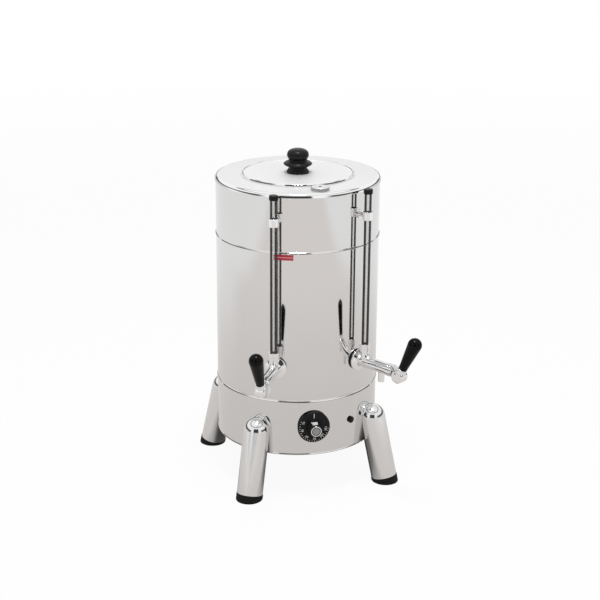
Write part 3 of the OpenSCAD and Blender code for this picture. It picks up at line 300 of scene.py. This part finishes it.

# Legs
# Four hollow castings with round tops, polished by hand and bolted to the skirt from inside. The polish
# leaves long shallow waves. The back of each leg, where no wheel reaches, is left dull, and its colour is
# painted dark as the shade between leg and skirt.
leg_tilt = math.radians(13)
leg_top_out = 136 * MM
leg_top_height = 64 * MM
leg_polish, shader, place = new_finish("leg_polish")
x, y, z = split(place)
radius, angle = round_axis(place)
strokes = noise(stretched(place, x * 500, y * 500, z * 22), 1.0, 3.0)
waves = noise(place, 26, 1.0)
leg_middle = leg_top_out + (leg_top_height - z) * math.tan(leg_tilt)
# The back of the leg, towards the skirt, is rougher and painted dark as shade.
shaded_back = 1 - fade(radius - leg_middle, -13 * MM, -6 * MM)
polished = blend(waves, (0.77, 0.77, 0.77), (0.82, 0.82, 0.82))
place.feed(shader, {
    "Base Color": blend(shaded_back, polished, (0.2, 0.2, 0.2)),
    "Metallic": 1,
    "Roughness": (0.08 + 0.06 * strokes) * (1 - shaded_back) + 0.4 * shaded_back,
    "Normal": relief(waves + 0.05 * strokes, 0.5 * MM, 0.2)})
dress(leg_polish, "leg_front_right", "leg_rear_right", "leg_rear_left", "leg_front_left")

# Feet
# Rubber sleeves pushed into the ends of the legs, a little wider than the leg and cut level with the
# table, so each is a wedge. Moulded black rubber, dull, with dust in its pores.
black_rubber, shader, place = new_finish("black_rubber")
dust = noise(place, 60, 4.0)
pores = noise(place, 900, 2.0)
place.feed(shader, {
    "Base Color": blend(dust, (0.006, 0.006, 0.006), (0.016, 0.0155, 0.015)),
    "Roughness": 0.5 + 0.25 * dust,
    "Specular IOR Level": 0.15,
    "Normal": relief(pores, 0.1 * MM, 0.3)})


def pick(kind, wanted):
    """In edit mode, selects the vertices, edges or faces that pass a test, and nothing else."""
    bpy.ops.mesh.select_all(action="DESELECT")
    form = bmesh.from_edit_mesh(bpy.context.object.data)
    for part in getattr(form, kind):
        if wanted(part):
            part.select_set(True)
    form.select_flush_mode()
    bmesh.update_edit_mesh(bpy.context.object.data)


def place_piece(piece, matrix):
    """Moves a piece to its place and leaves its object at the origin."""
    bpy.ops.object.select_all(action="DESELECT")
    piece.select_set(True)
    bpy.context.view_layer.objects.active = piece
    piece.matrix_world = matrix
    bpy.ops.object.transform_apply(location=True, rotation=True, scale=True)


def copy_of(pattern):
    """A copy of a piece, with a mesh of its own."""
    bpy.ops.object.select_all(action="DESELECT")
    pattern.select_set(True)
    bpy.context.view_layer.objects.active = pattern
    bpy.ops.object.duplicate()
    return bpy.context.object


def finish_piece(piece, finish, slot, body, *nodes):
    """Gives a piece its finish, the body that it rides on and the solids that it stands for. The slot is
    not used.
    """
    piece.data.materials.clear()
    piece.data.materials.append(finish)
    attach(piece, body)
    if nodes:
        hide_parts(*nodes)


sleeve_start = 8.5 * MM
leg_end = leg_top_height / math.cos(leg_tilt) - sleeve_start
foot_radius = 19.7 * MM
foot_length = 26 * MM
foot_edge = 1.1 * MM
leg_bearings = {"front_right": 46.5, "rear_right": 136.5, "rear_left": 226.5, "front_left": 316.5}
bpy.ops.object.select_all(action="DESELECT")
bpy.ops.mesh.primitive_cylinder_add(vertices=96, radius=foot_radius, depth=foot_length)
pattern_foot = bpy.context.object
lean = Matrix.Translation((0, -leg_top_out, leg_top_height)) @ Matrix.Rotation(-leg_tilt, 4, "X")
place_piece(pattern_foot, lean @ Matrix.Translation((0, 0, -leg_end - foot_length / 2)))
bpy.ops.object.mode_set(mode="EDIT")
bpy.ops.mesh.select_all(action="SELECT")
bpy.ops.mesh.bisect(plane_co=(0, 0, 0), plane_no=(0, 0, -1), clear_outer=True, use_fill=True)
pick("edges", lambda edge: len(edge.link_faces) == 2 and edge.calc_face_angle() > 0.5)
bpy.ops.mesh.bevel(offset=foot_edge, segments=4, affect="EDGES")
bpy.ops.object.mode_set(mode="OBJECT")
bpy.ops.object.shade_smooth_by_angle(angle=math.radians(35))
for corner, bearing in leg_bearings.items():
    foot = copy_of(pattern_foot)
    foot.name = "rubber_foot_" + corner
    place_piece(foot, Matrix.Rotation(math.radians(bearing), 4, "Z"))
    finish_piece(foot, black_rubber, "rubber", "urn", "foot_" + corner)
bpy.data.objects.remove(pattern_foot)

# Beads and hem
# The crests of the rolled beads of shell and skirt and the turned edge at the skirt's foot, as thin rings
# of the same polished sheet. The roller leaves each with a sharp lower edge and a slope above it.
def level_faces(piece, smooth):
    """Shades a piece smooth over soft corners and keeps its wide faces flat."""
    bpy.ops.object.select_all(action="DESELECT")
    piece.select_set(True)
    bpy.context.view_layer.objects.active = piece
    bpy.ops.object.shade_smooth_by_angle(angle=math.radians(smooth))
    flat_faces = piece.modifiers.new("flat_faces", "WEIGHTED_NORMAL")
    flat_faces.keep_sharp = True
    bpy.ops.object.modifier_apply(modifier="flat_faces")


def turned(name, outline, steps=96, smooth=35):
    """A lathe-turned piece: an outline of (radius, height, corner) in millimetres spun round the Z axis."""
    bpy.ops.object.select_all(action="DESELECT")
    bpy.ops.mesh.primitive_plane_add(size=MM)
    piece = bpy.context.object
    piece.name = name
    bpy.ops.object.mode_set(mode="EDIT")
    bpy.ops.mesh.merge(type="CENTER")
    points = [Vector((radius, 0, height)) * MM for radius, height, corner in outline]
    bpy.ops.transform.translate(value=points[0])
    for start, end in zip(points, points[1:]):
        bpy.ops.mesh.extrude_region_move(TRANSFORM_OT_translate={"value": end - start})
    for point, (radius, height, corner) in zip(points, outline):
        if corner:
            pick("verts", lambda vertex: (vertex.co - point).length < 0.001 * MM)
            bpy.ops.mesh.bevel(offset=corner * MM, offset_type="OFFSET", segments=6, affect="VERTICES")
    bpy.ops.mesh.select_all(action="SELECT")
    bpy.ops.mesh.spin(steps=steps, angle=math.tau, center=(0, 0, 0), axis=(0, 0, 1))
    bpy.ops.mesh.select_all(action="SELECT")
    bpy.ops.mesh.remove_doubles(threshold=0.002 * MM)
    bpy.ops.mesh.normals_make_consistent(inside=False)
    bpy.ops.object.mode_set(mode="OBJECT")
    level_faces(piece, smooth)
    return piece


bands = {
    "skirt_bead_band": (
        148.6,
        [(119.6, -1.9, 0), (120.9, -1.9, 0.1), (121.4, -1.1, 0.2), (120.6, 0.7, 0.4), (119.6, 1.6, 0)]),
    "shell_bead_band": (
        372.3,
        [(119.6, -1.4, 0), (120.9, -1.4, 0.1), (121.25, -0.9, 0.2), (120.72, 0.6, 0.2), (119.6, 1.58, 0)]),
    "skirt_hem_band": (
        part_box("base_skirt")[0].z / MM,
        [(119.6, 0, 0), (120.1, 0, 0), (120.5, 0.9, 0.1), (120.5, 1.2, 0.1), (119.6, 3, 0)])}
for name, (height, section) in bands.items():
    outline = [(out, height + rise, corner) for out, rise, corner in section]
    band = turned(name, outline + outline[:1], 192)
    finish_piece(band, mirror_steel, "polished_steel", "urn")

# Top cover and coffee pot
# Spun stainless sheet, satin on top from a fine belt and polished on its rounded edge, whose colour is
# also painted lighter as a highlight. The cover is pressed over the shell, with a turned neck brazed
# into its fill hole, and the pot hangs in it.
satin_steel, shader, place = new_finish("satin_steel")
radius, angle = round_axis(place)
belt_marks = noise(stretched(place, radius * 900, angle * 2, 0), 1.0, 3.0)
clouds = noise(place, 16, 2.0)
# The rounded edge is polished, and its colour is painted lighter as a highlight.
lit_polished_edge = fade(radius, 116.4 * MM, 116.8 * MM)
satin = blend(clouds, (0.80, 0.80, 0.80), (0.83, 0.83, 0.83))
place.feed(shader, {
    "Base Color": blend(lit_polished_edge, satin, (0.9, 0.9, 0.9)),
    "Metallic": 1,
    "Roughness": (0.54 + 0.1 * belt_marks) * (1 - lit_polished_edge) + 0.05 * lit_polished_edge,
    "Normal": relief(belt_marks, 0.02 * MM, 0.1)})
edge_bend = 5.5
bend_out = 115.62
bend_height = 452.7
edge_round = [
    (bend_out + edge_bend * math.cos(turn), bend_height + edge_bend * math.sin(turn), 0)
    for turn in (math.radians(90 - 8 * step) for step in range(11))]
cover = turned("spun_cover", [
    (80.3, 457, 0), (80.3, 458.2, 0.2), *edge_round, (121.35, 451.9, 0), (121.35, 451.4, 0.2),
    (120.15, 451.4, 0), (120.15, 457, 4.3), (80.3, 457, 0)], 192)
fill_bearing = math.radians(1.5)
fill_out = 101.675 * MM
cover_top = 458.2 * MM
over_fill_hole = Matrix.Translation((
    fill_out * math.sin(fill_bearing), -fill_out * math.cos(fill_bearing), cover_top))
bpy.ops.object.select_all(action="DESELECT")
bpy.ops.mesh.primitive_cylinder_add(
    vertices=96, radius=12.7 * MM, depth=6 * MM, location=over_fill_hole.translation)
punch = bpy.context.object
cut = cover.modifiers.new("fill_hole", "BOOLEAN")
cut.object = punch
cut.solver = "EXACT"
bpy.context.view_layer.objects.active = cover
bpy.ops.object.modifier_apply(modifier="fill_hole")
bpy.data.objects.remove(punch)
neck = turned("fill_neck", [
    (9.5, -7.2, 0), (10.5, -7.2, 0.2), (10.5, -1.2, 0), (12.6, -1.2, 0), (12.6, 0, 0.2), (9.5, 0, 0.3),
    (9.5, -7.2, 0)])
place_piece(neck, over_fill_hole)
bpy.ops.object.select_all(action="DESELECT")
neck.select_set(True)
cover.select_set(True)
bpy.context.view_layer.objects.active = cover
bpy.ops.object.join()
level_faces(cover, 35)
finish_piece(cover, satin_steel, "satin_steel", "urn", "top_cover")
dress(satin_steel, "coffee_pot")

# Lid
# A spun disc with a rolled edge and a ring below that centres it in the pot. The face is satin like
# the cover, and the roll was burnished to a polish by the tool that turned it over; its colour is also
# painted lighter as a highlight.
lid_steel, shader, place = new_finish("lid_steel")
radius, angle = round_axis(place)
belt_marks = noise(stretched(place, radius * 900, angle * 2, 0), 1.0, 3.0)
clouds = noise(place, 16, 2.0)
# The roll is polished, and its colour is painted lighter as a highlight.
lit_polished_roll = fade(radius, 79.2 * MM, 79.5 * MM)
satin = blend(clouds, (0.80, 0.80, 0.80), (0.83, 0.83, 0.83))
place.feed(shader, {
    "Base Color": blend(lit_polished_roll, satin, (0.9, 0.9, 0.9)),
    "Metallic": 1,
    "Roughness": (0.62 + 0.1 * belt_marks) * (1 - lit_polished_roll) + 0.05 * lit_polished_roll,
    "Normal": relief(belt_marks, 0.02 * MM, 0.1)})
lid = turned("spun_lid", [
    (2.3, 459, 0), (2.3, 460, 0.2), (78.9, 460, 0.4), (79.8, 461.8, 0.6), (80.5, 461.8, 0.3),
    (81.4, 461.1, 0.2), (81.85, 459.15, 0.1), (79, 459.15, 0), (78.5, 459, 0), (78.5, 450, 0.2),
    (77.7, 450, 0.2), (77.7, 459, 0), (2.3, 459, 0)], 192)
finish_piece(lid, lid_steel, "satin_steel", "lid", "lid")

# Fill cap
# A turned cap that stops the fill hole of the water bath and lets steam out by a drilled vent.
# Its top face is painted light as lit and its side, left as turned, painted darker as shade; the vent is
# painted dark as shade in the hole.
cap_steel, shader, place = new_finish("cap_steel")
specks = noise(place, 300, 3.0)
x, y, z = split(place)
aside = x - over_fill_hole.translation.x
forth = y - over_fill_hole.translation.y
out = (aside * aside + forth * forth) ** 0.5
# The top face is painted lighter as lit, the side darker as shade, and the vent dark as shade in the hole.
face = fade(z, cover_top + 4.0 * MM, cover_top + 4.6 * MM)
beyond_vent_shade = fade(out, 2.1 * MM, 2.4 * MM)
shaded_side = blend(specks, (0.34, 0.34, 0.34), (0.42, 0.42, 0.42))
lit_face = blend(specks, (0.78, 0.78, 0.78), (0.84, 0.84, 0.84))
metal = blend(face, shaded_side, lit_face)
place.feed(shader, {
    "Base Color": blend(beyond_vent_shade, (0.012, 0.012, 0.012), metal),
    "Metallic": 1,
    "Roughness": 0.3 + 0.1 * specks})
fill_cap = turned("vented_fill_cap", [
    (1.5, -7.2, 0), (9.1, -7.2, 0.6), (9.1, 0, 0), (13, 0, 0.4), (13, 4.8, 1.1), (2.2, 4.8, 0.2),
    (1.5, 4.1, 0), (1.5, -7.2, 0)])
place_piece(fill_cap, over_fill_hole)
finish_piece(fill_cap, cap_steel, "satin_steel", "fill_cap", "fill_cap")

# Lid knob
# A black heat-proof moulding in three steps, foot, flange and crown, held by a screw through the lid.
# It is turned smooth, with a low sheen and fine scuffs on the crown.
black_knob, shader, place = new_finish("black_knob")
scuffs = noise(place, 140, 4.0)
specks = noise(place, 1500, 2.0)
place.feed(shader, {
    "Base Color": blend(scuffs, (0.006, 0.006, 0.006), (0.014, 0.014, 0.014)),
    "Roughness": 0.24 + 0.14 * scuffs,
    "Specular IOR Level": 0.16,
    "Normal": relief(specks, 0.03 * MM, 0.15)})
knob = turned("turned_lid_knob", [
    (0, 0, 0), (16.5, 0, 0.3), (16.5, 1.6, 0.5), (13.4, 6.6, 1.2), (13.6, 8.4, 1), (19.6, 10.9, 2),
    (21.2, 13, 1.2), (19.4, 15.2, 2), (13.2, 18.2, 1.2), (12.8, 19.6, 0.8), (15.4, 22.2, 2.2),
    (16.2, 26.4, 2.4), (14.6, 31.4, 3), (9, 34.6, 3), (0, 35.6, 0)], 128, 60)
place_piece(knob, Matrix.Translation((0, 0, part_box("lid_knob")[0].z)))
finish_piece(knob, black_knob, "black_plastic", "lid", "lid_knob")
dress(mill_steel, "lid_knob_screw")

# Taps
# Chrome-plated brass castings with flange, barrel, spout and the socket of the sight tube in one.
# A casting has no sharp corners, so edges and inner corners run together before it is plated.
bright_chrome, shader, place = new_finish("bright_chrome")
mist = noise(place, 70, 3.0)
swirl = noise(place, 700, 2.0)
place.feed(shader, {
    "Base Color": blend(mist, (0.85, 0.85, 0.855), (0.91, 0.91, 0.915)),
    "Metallic": 1,
    "Roughness": 0.03 + 0.05 * mist,
    "Normal": relief(swirl, 0.02 * MM, 0.08)})


def copied(name, node):
    """A copy of a solid as a piece of its own, with the corners of its faces merged."""
    piece = copy_of(frame["nodes"][node])
    piece.name = name
    for note in list(piece.keys()):
        del piece[note]
    bpy.ops.object.parent_clear(type="CLEAR_KEEP_TRANSFORM")
    bpy.ops.object.mode_set(mode="EDIT")
    bpy.ops.mesh.select_all(action="SELECT")
    bpy.ops.mesh.remove_doubles(threshold=0.002 * MM)
    bpy.ops.object.mode_set(mode="OBJECT")
    return piece


def casting(name, node, grain, passes):
    """A copy of a solid as a casting, with its edges and inner corners run together over a few grains."""
    piece = copied(name, node)
    skin = piece.modifiers.new("skin", "REMESH")
    skin.mode = "VOXEL"
    skin.voxel_size = grain * MM
    ease = piece.modifiers.new("ease", "SMOOTH")
    ease.factor = 0.5
    ease.iterations = passes
    bpy.ops.object.modifier_apply(modifier="skin")
    bpy.ops.object.modifier_apply(modifier="ease")
    bpy.ops.object.shade_smooth()
    return piece


for side in ("coffee", "water"):
    tap = casting(side + "_tap_casting", side + "_tap_body", grain=0.45, passes=6)
    finish_piece(tap, bright_chrome, "chrome", "urn", side + "_tap_body")
dress(bright_chrome, "coffee_tap_bonnet", "water_tap_bonnet", "tube_packing_nuts")
dress(black_rubber, "tap_gaskets", "stem_orings", "tube_packing_rings", "coffee_tap_seal", "water_tap_seal")

# Plungers and valve springs
# A steel plunger runs through each bonnet, with a rubber seal at its inner end. A coil spring between
# the seal's plate and the bonnet closes the valve. In the urn it shortens as the lever lifts the plunger;
# here it keeps its length.
def front_frame(bearing, out, height):
    """Axes on the side of the urn: X to the right, Y up and Z outwards, at a bearing from the front."""
    bearing = math.radians(bearing)
    aside = Vector((math.cos(bearing), math.sin(bearing), 0))
    outward = Vector((math.sin(bearing), -math.cos(bearing), 0))
    axes = Matrix((aside, Vector((0, 0, 1)), outward)).transposed().to_4x4()
    return Matrix.Translation(outward * out * MM + Vector((0, 0, height * MM))) @ axes


tap_bearings = {"coffee": 30.5, "water": -30.5}
tap_height = 201
for side, bearing in tap_bearings.items():
    spring = copied(side + "_valve_spring", side + "_tap_spring")
    bpy.ops.object.shade_smooth()
    finish_piece(spring, mill_steel, "plain_steel", "urn", side + "_tap_spring")
    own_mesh(spring)
dress(mill_steel, "coffee_tap_stem", "water_tap_stem")

# Levers
# A plated fork with a round cam that pulls the plunger off its seat, and a black handle screwed on its
# stud. The handle is a glossy moulding that swells from its foot to a ball.
gloss_black, shader, place = new_finish("gloss_black")
smears = noise(place, 120, 3.0)
place.feed(shader, {
    "Base Color": blend(smears, (0.002, 0.002, 0.002), (0.004, 0.004, 0.004)),
    "Roughness": 0.03 + 0.05 * smears,
    "Specular IOR Level": 0.1,
    "Coat Weight": 0.08 * smears})
cam_out = 200.18
cam_drop = -4.68
handle_tilt = 26
handle_start = 14.3
handle_length = 55.5
ball_radius = 10.3
foot_end = 6.2
ball_height = handle_length - ball_radius
meet = math.atan2(-ball_height, foot_end) + math.acos(ball_radius / math.hypot(foot_end, ball_height))
round_end = [
    (ball_radius * math.cos(turn), ball_height + ball_radius * math.sin(turn), 0)
    for turn in (meet + (math.pi / 2 - meet) * step / 18 for step in range(18))]
for side, bearing in tap_bearings.items():
    handle = turned(side + "_handle_grip", [
        (0, 0, 0), (foot_end, 0, 1.3), *round_end, (0, handle_length, 0)], 96, 60)
    cam = front_frame(bearing, cam_out, tap_height + cam_drop)
    stand_up = Matrix.Rotation(math.radians(handle_tilt - 90), 4, "X")
    place_piece(handle, cam @ stand_up @ Matrix.Translation((0, 0, handle_start * MM)))
    finish_piece(handle, gloss_black, "black_plastic", side + "_lever", side + "_lever_handle")
    lever = casting(side + "_lever_casting", side + "_lever", grain=0.3, passes=4)
    finish_piece(lever, bright_chrome, "chrome", side + "_lever", side + "_lever")
dress(mill_steel, "coffee_lever_pin", "water_lever_pin")

# Sight tubes
# Glass tubes with fire-polished ends that show the level, held in a packed socket at the foot, a
# plated clip near the top and a black cap that keeps dust out.
clear_glass, shader, place = new_finish("clear_glass")
streaks = noise(place, 45, 2.0)
place.feed(shader, {
    "Base Color": (0.9, 0.905, 0.905, 1),
    "Roughness": 0.01 + 0.02 * streaks,
    "Transmission Weight": 1,
    "IOR": 1.47})
tree = clear_glass.node_tree
# Towards its edges the glass is mixed with a near-black shader, painted shade for the dark along the tube's
# edges, a little stronger on the side away from the urn.
edge_shader = tree.nodes.new("ShaderNodeBsdfPrincipled")
place.feed(edge_shader, {"Base Color": (0.01, 0.01, 0.01, 1), "Roughness": 0.1})
facing = place.node("ShaderNodeLayerWeight", {}, {"Blend": 0.5}, "Facing")
radius, angle = round_axis(place)
outer = fade(radius, 133.5 * MM, 136.5 * MM)
dark_edge_shade = 0.95 * outer * fade(facing, 0.08, 0.16) + 0.9 * (1 - outer) * fade(facing, 0.08, 0.22)
surface = place.node("ShaderNodeMixShader", {}, {
    "Fac": dark_edge_shade, 1: Wire(shader.outputs[0]), 2: Wire(edge_shader.outputs[0])})
place.feed(tree.nodes["Material Output"], {"Surface": surface})
tube_out = 135
tube_radius = 5.15
bore_radius = 3.75
tube_foot = 215
tube_top = 456
for side, bearing in tap_bearings.items():
    foot_of_tube = front_frame(bearing, tube_out, 0).translation
    tube = turned(side + "_glass_tube", [
        (bore_radius, tube_foot, 0.4), (tube_radius, tube_foot, 0.5), (tube_radius, tube_top, 0.5),
        (bore_radius, tube_top, 0.4), (bore_radius, tube_foot, 0)], 64)
    place_piece(tube, Matrix.Translation(foot_of_tube))
    finish_piece(tube, clear_glass, "glass", "urn", side + "_sight_tube")
    cap = turned(side + "_tube_top_cap", [
        (0, 456, 0), (5.3, 456, 0), (5.3, 452, 0), (6.5, 452, 0.4), (6.5, 459, 1.6), (0, 459, 0)], 64)
    place_piece(cap, Matrix.Translation(foot_of_tube))
    finish_piece(cap, black_knob, "black_plastic", "urn", side + "_tube_cap")
    clip = casting(side + "_clip_casting", side + "_tube_clip", grain=0.3, passes=3)
    finish_piece(clip, bright_chrome, "chrome", "urn", side + "_tube_clip")

# Level mark
# A strip of red printed film with a pale line along its middle, stuck on the shell at the highest
# water level. The ink is matt and a little worn.
red_film, shader, place = new_finish("red_film")
mark_low, mark_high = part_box("level_mark")
height = split(place)[2]
up_the_strip = (height - mark_low.z) / (mark_high.z - mark_low.z)
line = fade(up_the_strip, 0.40, 0.46) * (1 - fade(up_the_strip, 0.56, 0.62))
worn = noise(place, 500, 3.0)
place.feed(shader, {
    "Base Color": blend(line * (0.75 + 0.25 * worn), (0.60, 0.035, 0.055), (0.86, 0.42, 0.46)),
    "Roughness": 0.4 + 0.2 * worn})
dress(red_film, "level_mark")

# Thermostat dial
# A black moulded disc with a bevelled rim and a raised grip, pushed on the thermostat's shaft. Its
# scale is printed in white, a pale patch on the flat of the grip is a painted highlight, and a bare metal
# cap closes it.
dial_bearing = -4.5
dial_height = 109.2
dial_face = 125.0
dial = turned("scale_dial", [
    (0, 121.4, 0), (24, 121.4, 0.3), (24, 123.8, 0.5), (22.8, 125, 0.5), (0, 125, 0)], 128)
grip_flat = 8.4 * MM
grip = turned("grip", [
    (0, 124.4, 0), (11.6, 124.4, 0), (9.2, 140, 0.6), (7.9, 140, 0.2), (7.9, 139.3, 0), (0, 139.3, 0)], 96)
bpy.ops.object.mode_set(mode="EDIT")
bpy.ops.mesh.select_all(action="SELECT")
bpy.ops.mesh.bisect(plane_co=(0, grip_flat, 0), plane_no=(0, 1, 0), clear_outer=True, use_fill=True)
bpy.ops.object.mode_set(mode="OBJECT")
bpy.ops.object.select_all(action="DESELECT")
grip.select_set(True)
dial.select_set(True)
bpy.context.view_layer.objects.active = dial
bpy.ops.object.join()
on_axis = front_frame(dial_bearing, 0, dial_height)
place_piece(dial, on_axis)
finish_piece(dial, black_knob, "black_plastic", "dial", "dial")

# White print for the scale, also used for the painted highlight on the grip's flat.
print_and_highlight, shader, place = new_finish("print_and_highlight")
wear = noise(place, 600, 3.0)
place.feed(shader, {
    "Base Color": blend(wear, (0.75, 0.75, 0.74), (0.88, 0.88, 0.87)),
    "Roughness": 0.5})
scale_start = 153
scale_sweep = 199
number_out = 17.4 * MM
number_size = 4.6 * MM
number_height = (dial_face + 0.03) * MM
marks = []
for number, turn in ((20, scale_start), (40, 193), (60, 233), (80, 272), (100, 312), (120, 352)):
    bpy.ops.object.select_all(action="DESELECT")
    bpy.ops.object.text_add()
    words = bpy.context.object
    words.data.body = str(number)
    words.data.size = number_size
    words.data.align_x = "CENTER"
    words.data.align_y = "CENTER"
    words.data.extrude = 0.03 * MM
    bpy.ops.object.convert(target="MESH")
    turn = math.radians(turn)
    spot = Matrix.Translation((number_out * math.cos(turn), number_out * math.sin(turn), number_height))
    place_piece(words, on_axis @ spot @ Matrix.Rotation(turn - math.pi / 2, 4, "Z"))
    marks.append(words)


def printed_line(length, width, depth):
    """A line of bold print along X, in millimetres, with its middle at the origin."""
    bpy.ops.object.select_all(action="DESELECT")
    bpy.ops.mesh.primitive_plane_add(size=MM)
    line = bpy.context.object
    bpy.ops.object.mode_set(mode="EDIT")
    bpy.ops.mesh.select_all(action="SELECT")
    bpy.ops.transform.resize(value=(length, width, 1), center_override=(0, 0, 0))
    bpy.ops.transform.translate(value=(0, 0, -depth / 2 * MM))
    bpy.ops.mesh.extrude_region_move(TRANSFORM_OT_translate={"value": (0, 0, depth * MM)})
    bpy.ops.mesh.select_all(action="SELECT")
    bpy.ops.mesh.normals_make_consistent(inside=False)
    bpy.ops.object.mode_set(mode="OBJECT")
    return line


print_depth = 0.08
line_height = (dial_face + 0.02) * MM
tick_count = 21
tick_out = 21.2 * MM
pattern_tick = printed_line(2, 0.5, print_depth)
for step in range(tick_count):
    tick = copy_of(pattern_tick)
    turn = math.radians(scale_start + scale_sweep * step / (tick_count - 1))
    spot = Matrix.Rotation(turn, 4, "Z") @ Matrix.Translation((tick_out, 0, line_height))
    place_piece(tick, on_axis @ spot)
    marks.append(tick)
bpy.data.objects.remove(pattern_tick)
pointer_out = 18.05 * MM
pointer = printed_line(7.1, 0.9, print_depth)
spot = Matrix.Rotation(math.radians(90), 4, "Z") @ Matrix.Translation((pointer_out, 0, line_height))
place_piece(pointer, on_axis @ spot)
marks.append(pointer)
# A pale patch on the flat of the grip, a painted highlight in the white of the print.
bpy.ops.object.select_all(action="DESELECT")
bpy.ops.mesh.primitive_plane_add(size=10 * MM)
highlight_patch = bpy.context.object
bpy.ops.object.mode_set(mode="EDIT")
pick("verts", lambda vertex: vertex.co.y < 0)
bpy.ops.transform.resize(value=(0.66, 1, 1), center_override=(0, 0, 0))
bpy.ops.mesh.select_all(action="SELECT")
bpy.ops.mesh.extrude_region_move(TRANSFORM_OT_translate={"value": (0, 0, 0.06 * MM)})
bpy.ops.mesh.select_all(action="SELECT")
bpy.ops.mesh.normals_make_consistent(inside=False)
bpy.ops.object.mode_set(mode="OBJECT")
on_the_flat = Matrix.Translation((0, grip_flat, 130.4 * MM)) @ Matrix.Rotation(math.radians(-90), 4, "X")
place_piece(highlight_patch, on_axis @ on_the_flat)
marks.append(highlight_patch)
bpy.ops.object.select_all(action="DESELECT")
for mark in marks:
    mark.select_set(True)
bpy.context.view_layer.objects.active = marks[0]
bpy.ops.object.join()
marks[0].name = "dial_scale"
finish_piece(marks[0], print_and_highlight, "white_plastic", "dial")

cap_end = turned("bare_grip_cap", [
    (0, 139.3, 0), (7.8, 139.3, 0), (7.8, 140.7, 0.4), (6.5, 140.7, 0.2), (6.2, 140.2, 0.1),
    (5.6, 140.2, 0.1), (5.3, 140.6, 0.2), (0, 140.6, 0)], 64)
place_piece(cap_end, on_axis)
grip_metal, shader, place = new_finish("grip_metal")
middle = on_axis @ Vector((0, 0, 140.7 * MM))
from_middle = place.node("ShaderNodeVectorMath", {"operation": "DISTANCE"}, {0: place, 1: middle}, "Value")
# The cap's groove is painted near black as shade in it; the middle is mid grey and the rim bright.
rim = fade(from_middle, 6.3 * MM, 6.6 * MM)
groove_shade = fade(from_middle, 5.2 * MM, 5.5 * MM)
specks = noise(place, 900, 3.0)
middle_and_groove_shade = blend(groove_shade, (0.36, 0.36, 0.36), (0.02, 0.02, 0.02))
place.feed(shader, {
    "Base Color": blend(rim, middle_and_groove_shade, (0.9, 0.9, 0.9)),
    "Metallic": 1,
    "Roughness": 0.3 - 0.15 * rim + 0.1 * specks})
finish_piece(cap_end, grip_metal, "plain_steel", "dial", "dial_cap")
dress(mill_steel, "thermostat_shaft")

# Pilot lamp
# A small indicator in a black moulded bezel that is pressed into the skirt beside the dial. Its lens is
# dark red plastic with fine facets inside, and glows only while the urn heats.
dark_lens, shader, place = new_finish("dark_lens")
facets = noise(place, 800, 2.0)
place.feed(shader, {
    "Base Color": blend(facets, (0.010, 0.002, 0.002), (0.022, 0.004, 0.004)),
    "Specular IOR Level": 0.2,
    "Roughness": 0.06 + 0.06 * facets})
dress(dark_lens, "lamp_lens")
dress(gloss_black, "lamp_bezel")

# Electrics in the base
# Heater, thermostat and its copper bulb, terminal block, wires and the rubber gland of the mains lead.
# They are shown with their plain trade finishes, because the base can be opened.
dress(mill_steel, "heater")
dress(black_rubber, "cord_gland")
yellow_metal, shader, place = new_finish("yellow_metal")
tarnish = noise(place, 150, 4.0)
place.feed(shader, {
    "Base Color": blend(tarnish, (0.68, 0.50, 0.24), (0.48, 0.33, 0.15)),
    "Metallic": 1,
    "Roughness": 0.25 + 0.2 * tarnish})
dress(yellow_metal, "heater_nuts", "tap_locknuts", "thermostat_bulb")
heat_proof, shader, place = new_finish("heat_proof_moulding")
mottle = noise(place, 260, 4.0)
place.feed(shader, {
    "Base Color": blend(mottle, (0.80, 0.78, 0.72), (0.86, 0.85, 0.80)),
    "Roughness": 0.5 + 0.15 * mottle})
dress(heat_proof, "thermostat", "terminal_block")
wire_sleeve, shader, place = new_finish("wire_sleeve")
braid = noise(place, 1200, 2.0)
place.feed(shader, {
    "Base Color": blend(braid, (0.17, 0.09, 0.05), (0.26, 0.15, 0.09)),
    "Roughness": 0.6 + 0.2 * braid,
    "Normal": relief(braid, 0.1 * MM, 0.3)})
dress(wire_sleeve, "wiring")
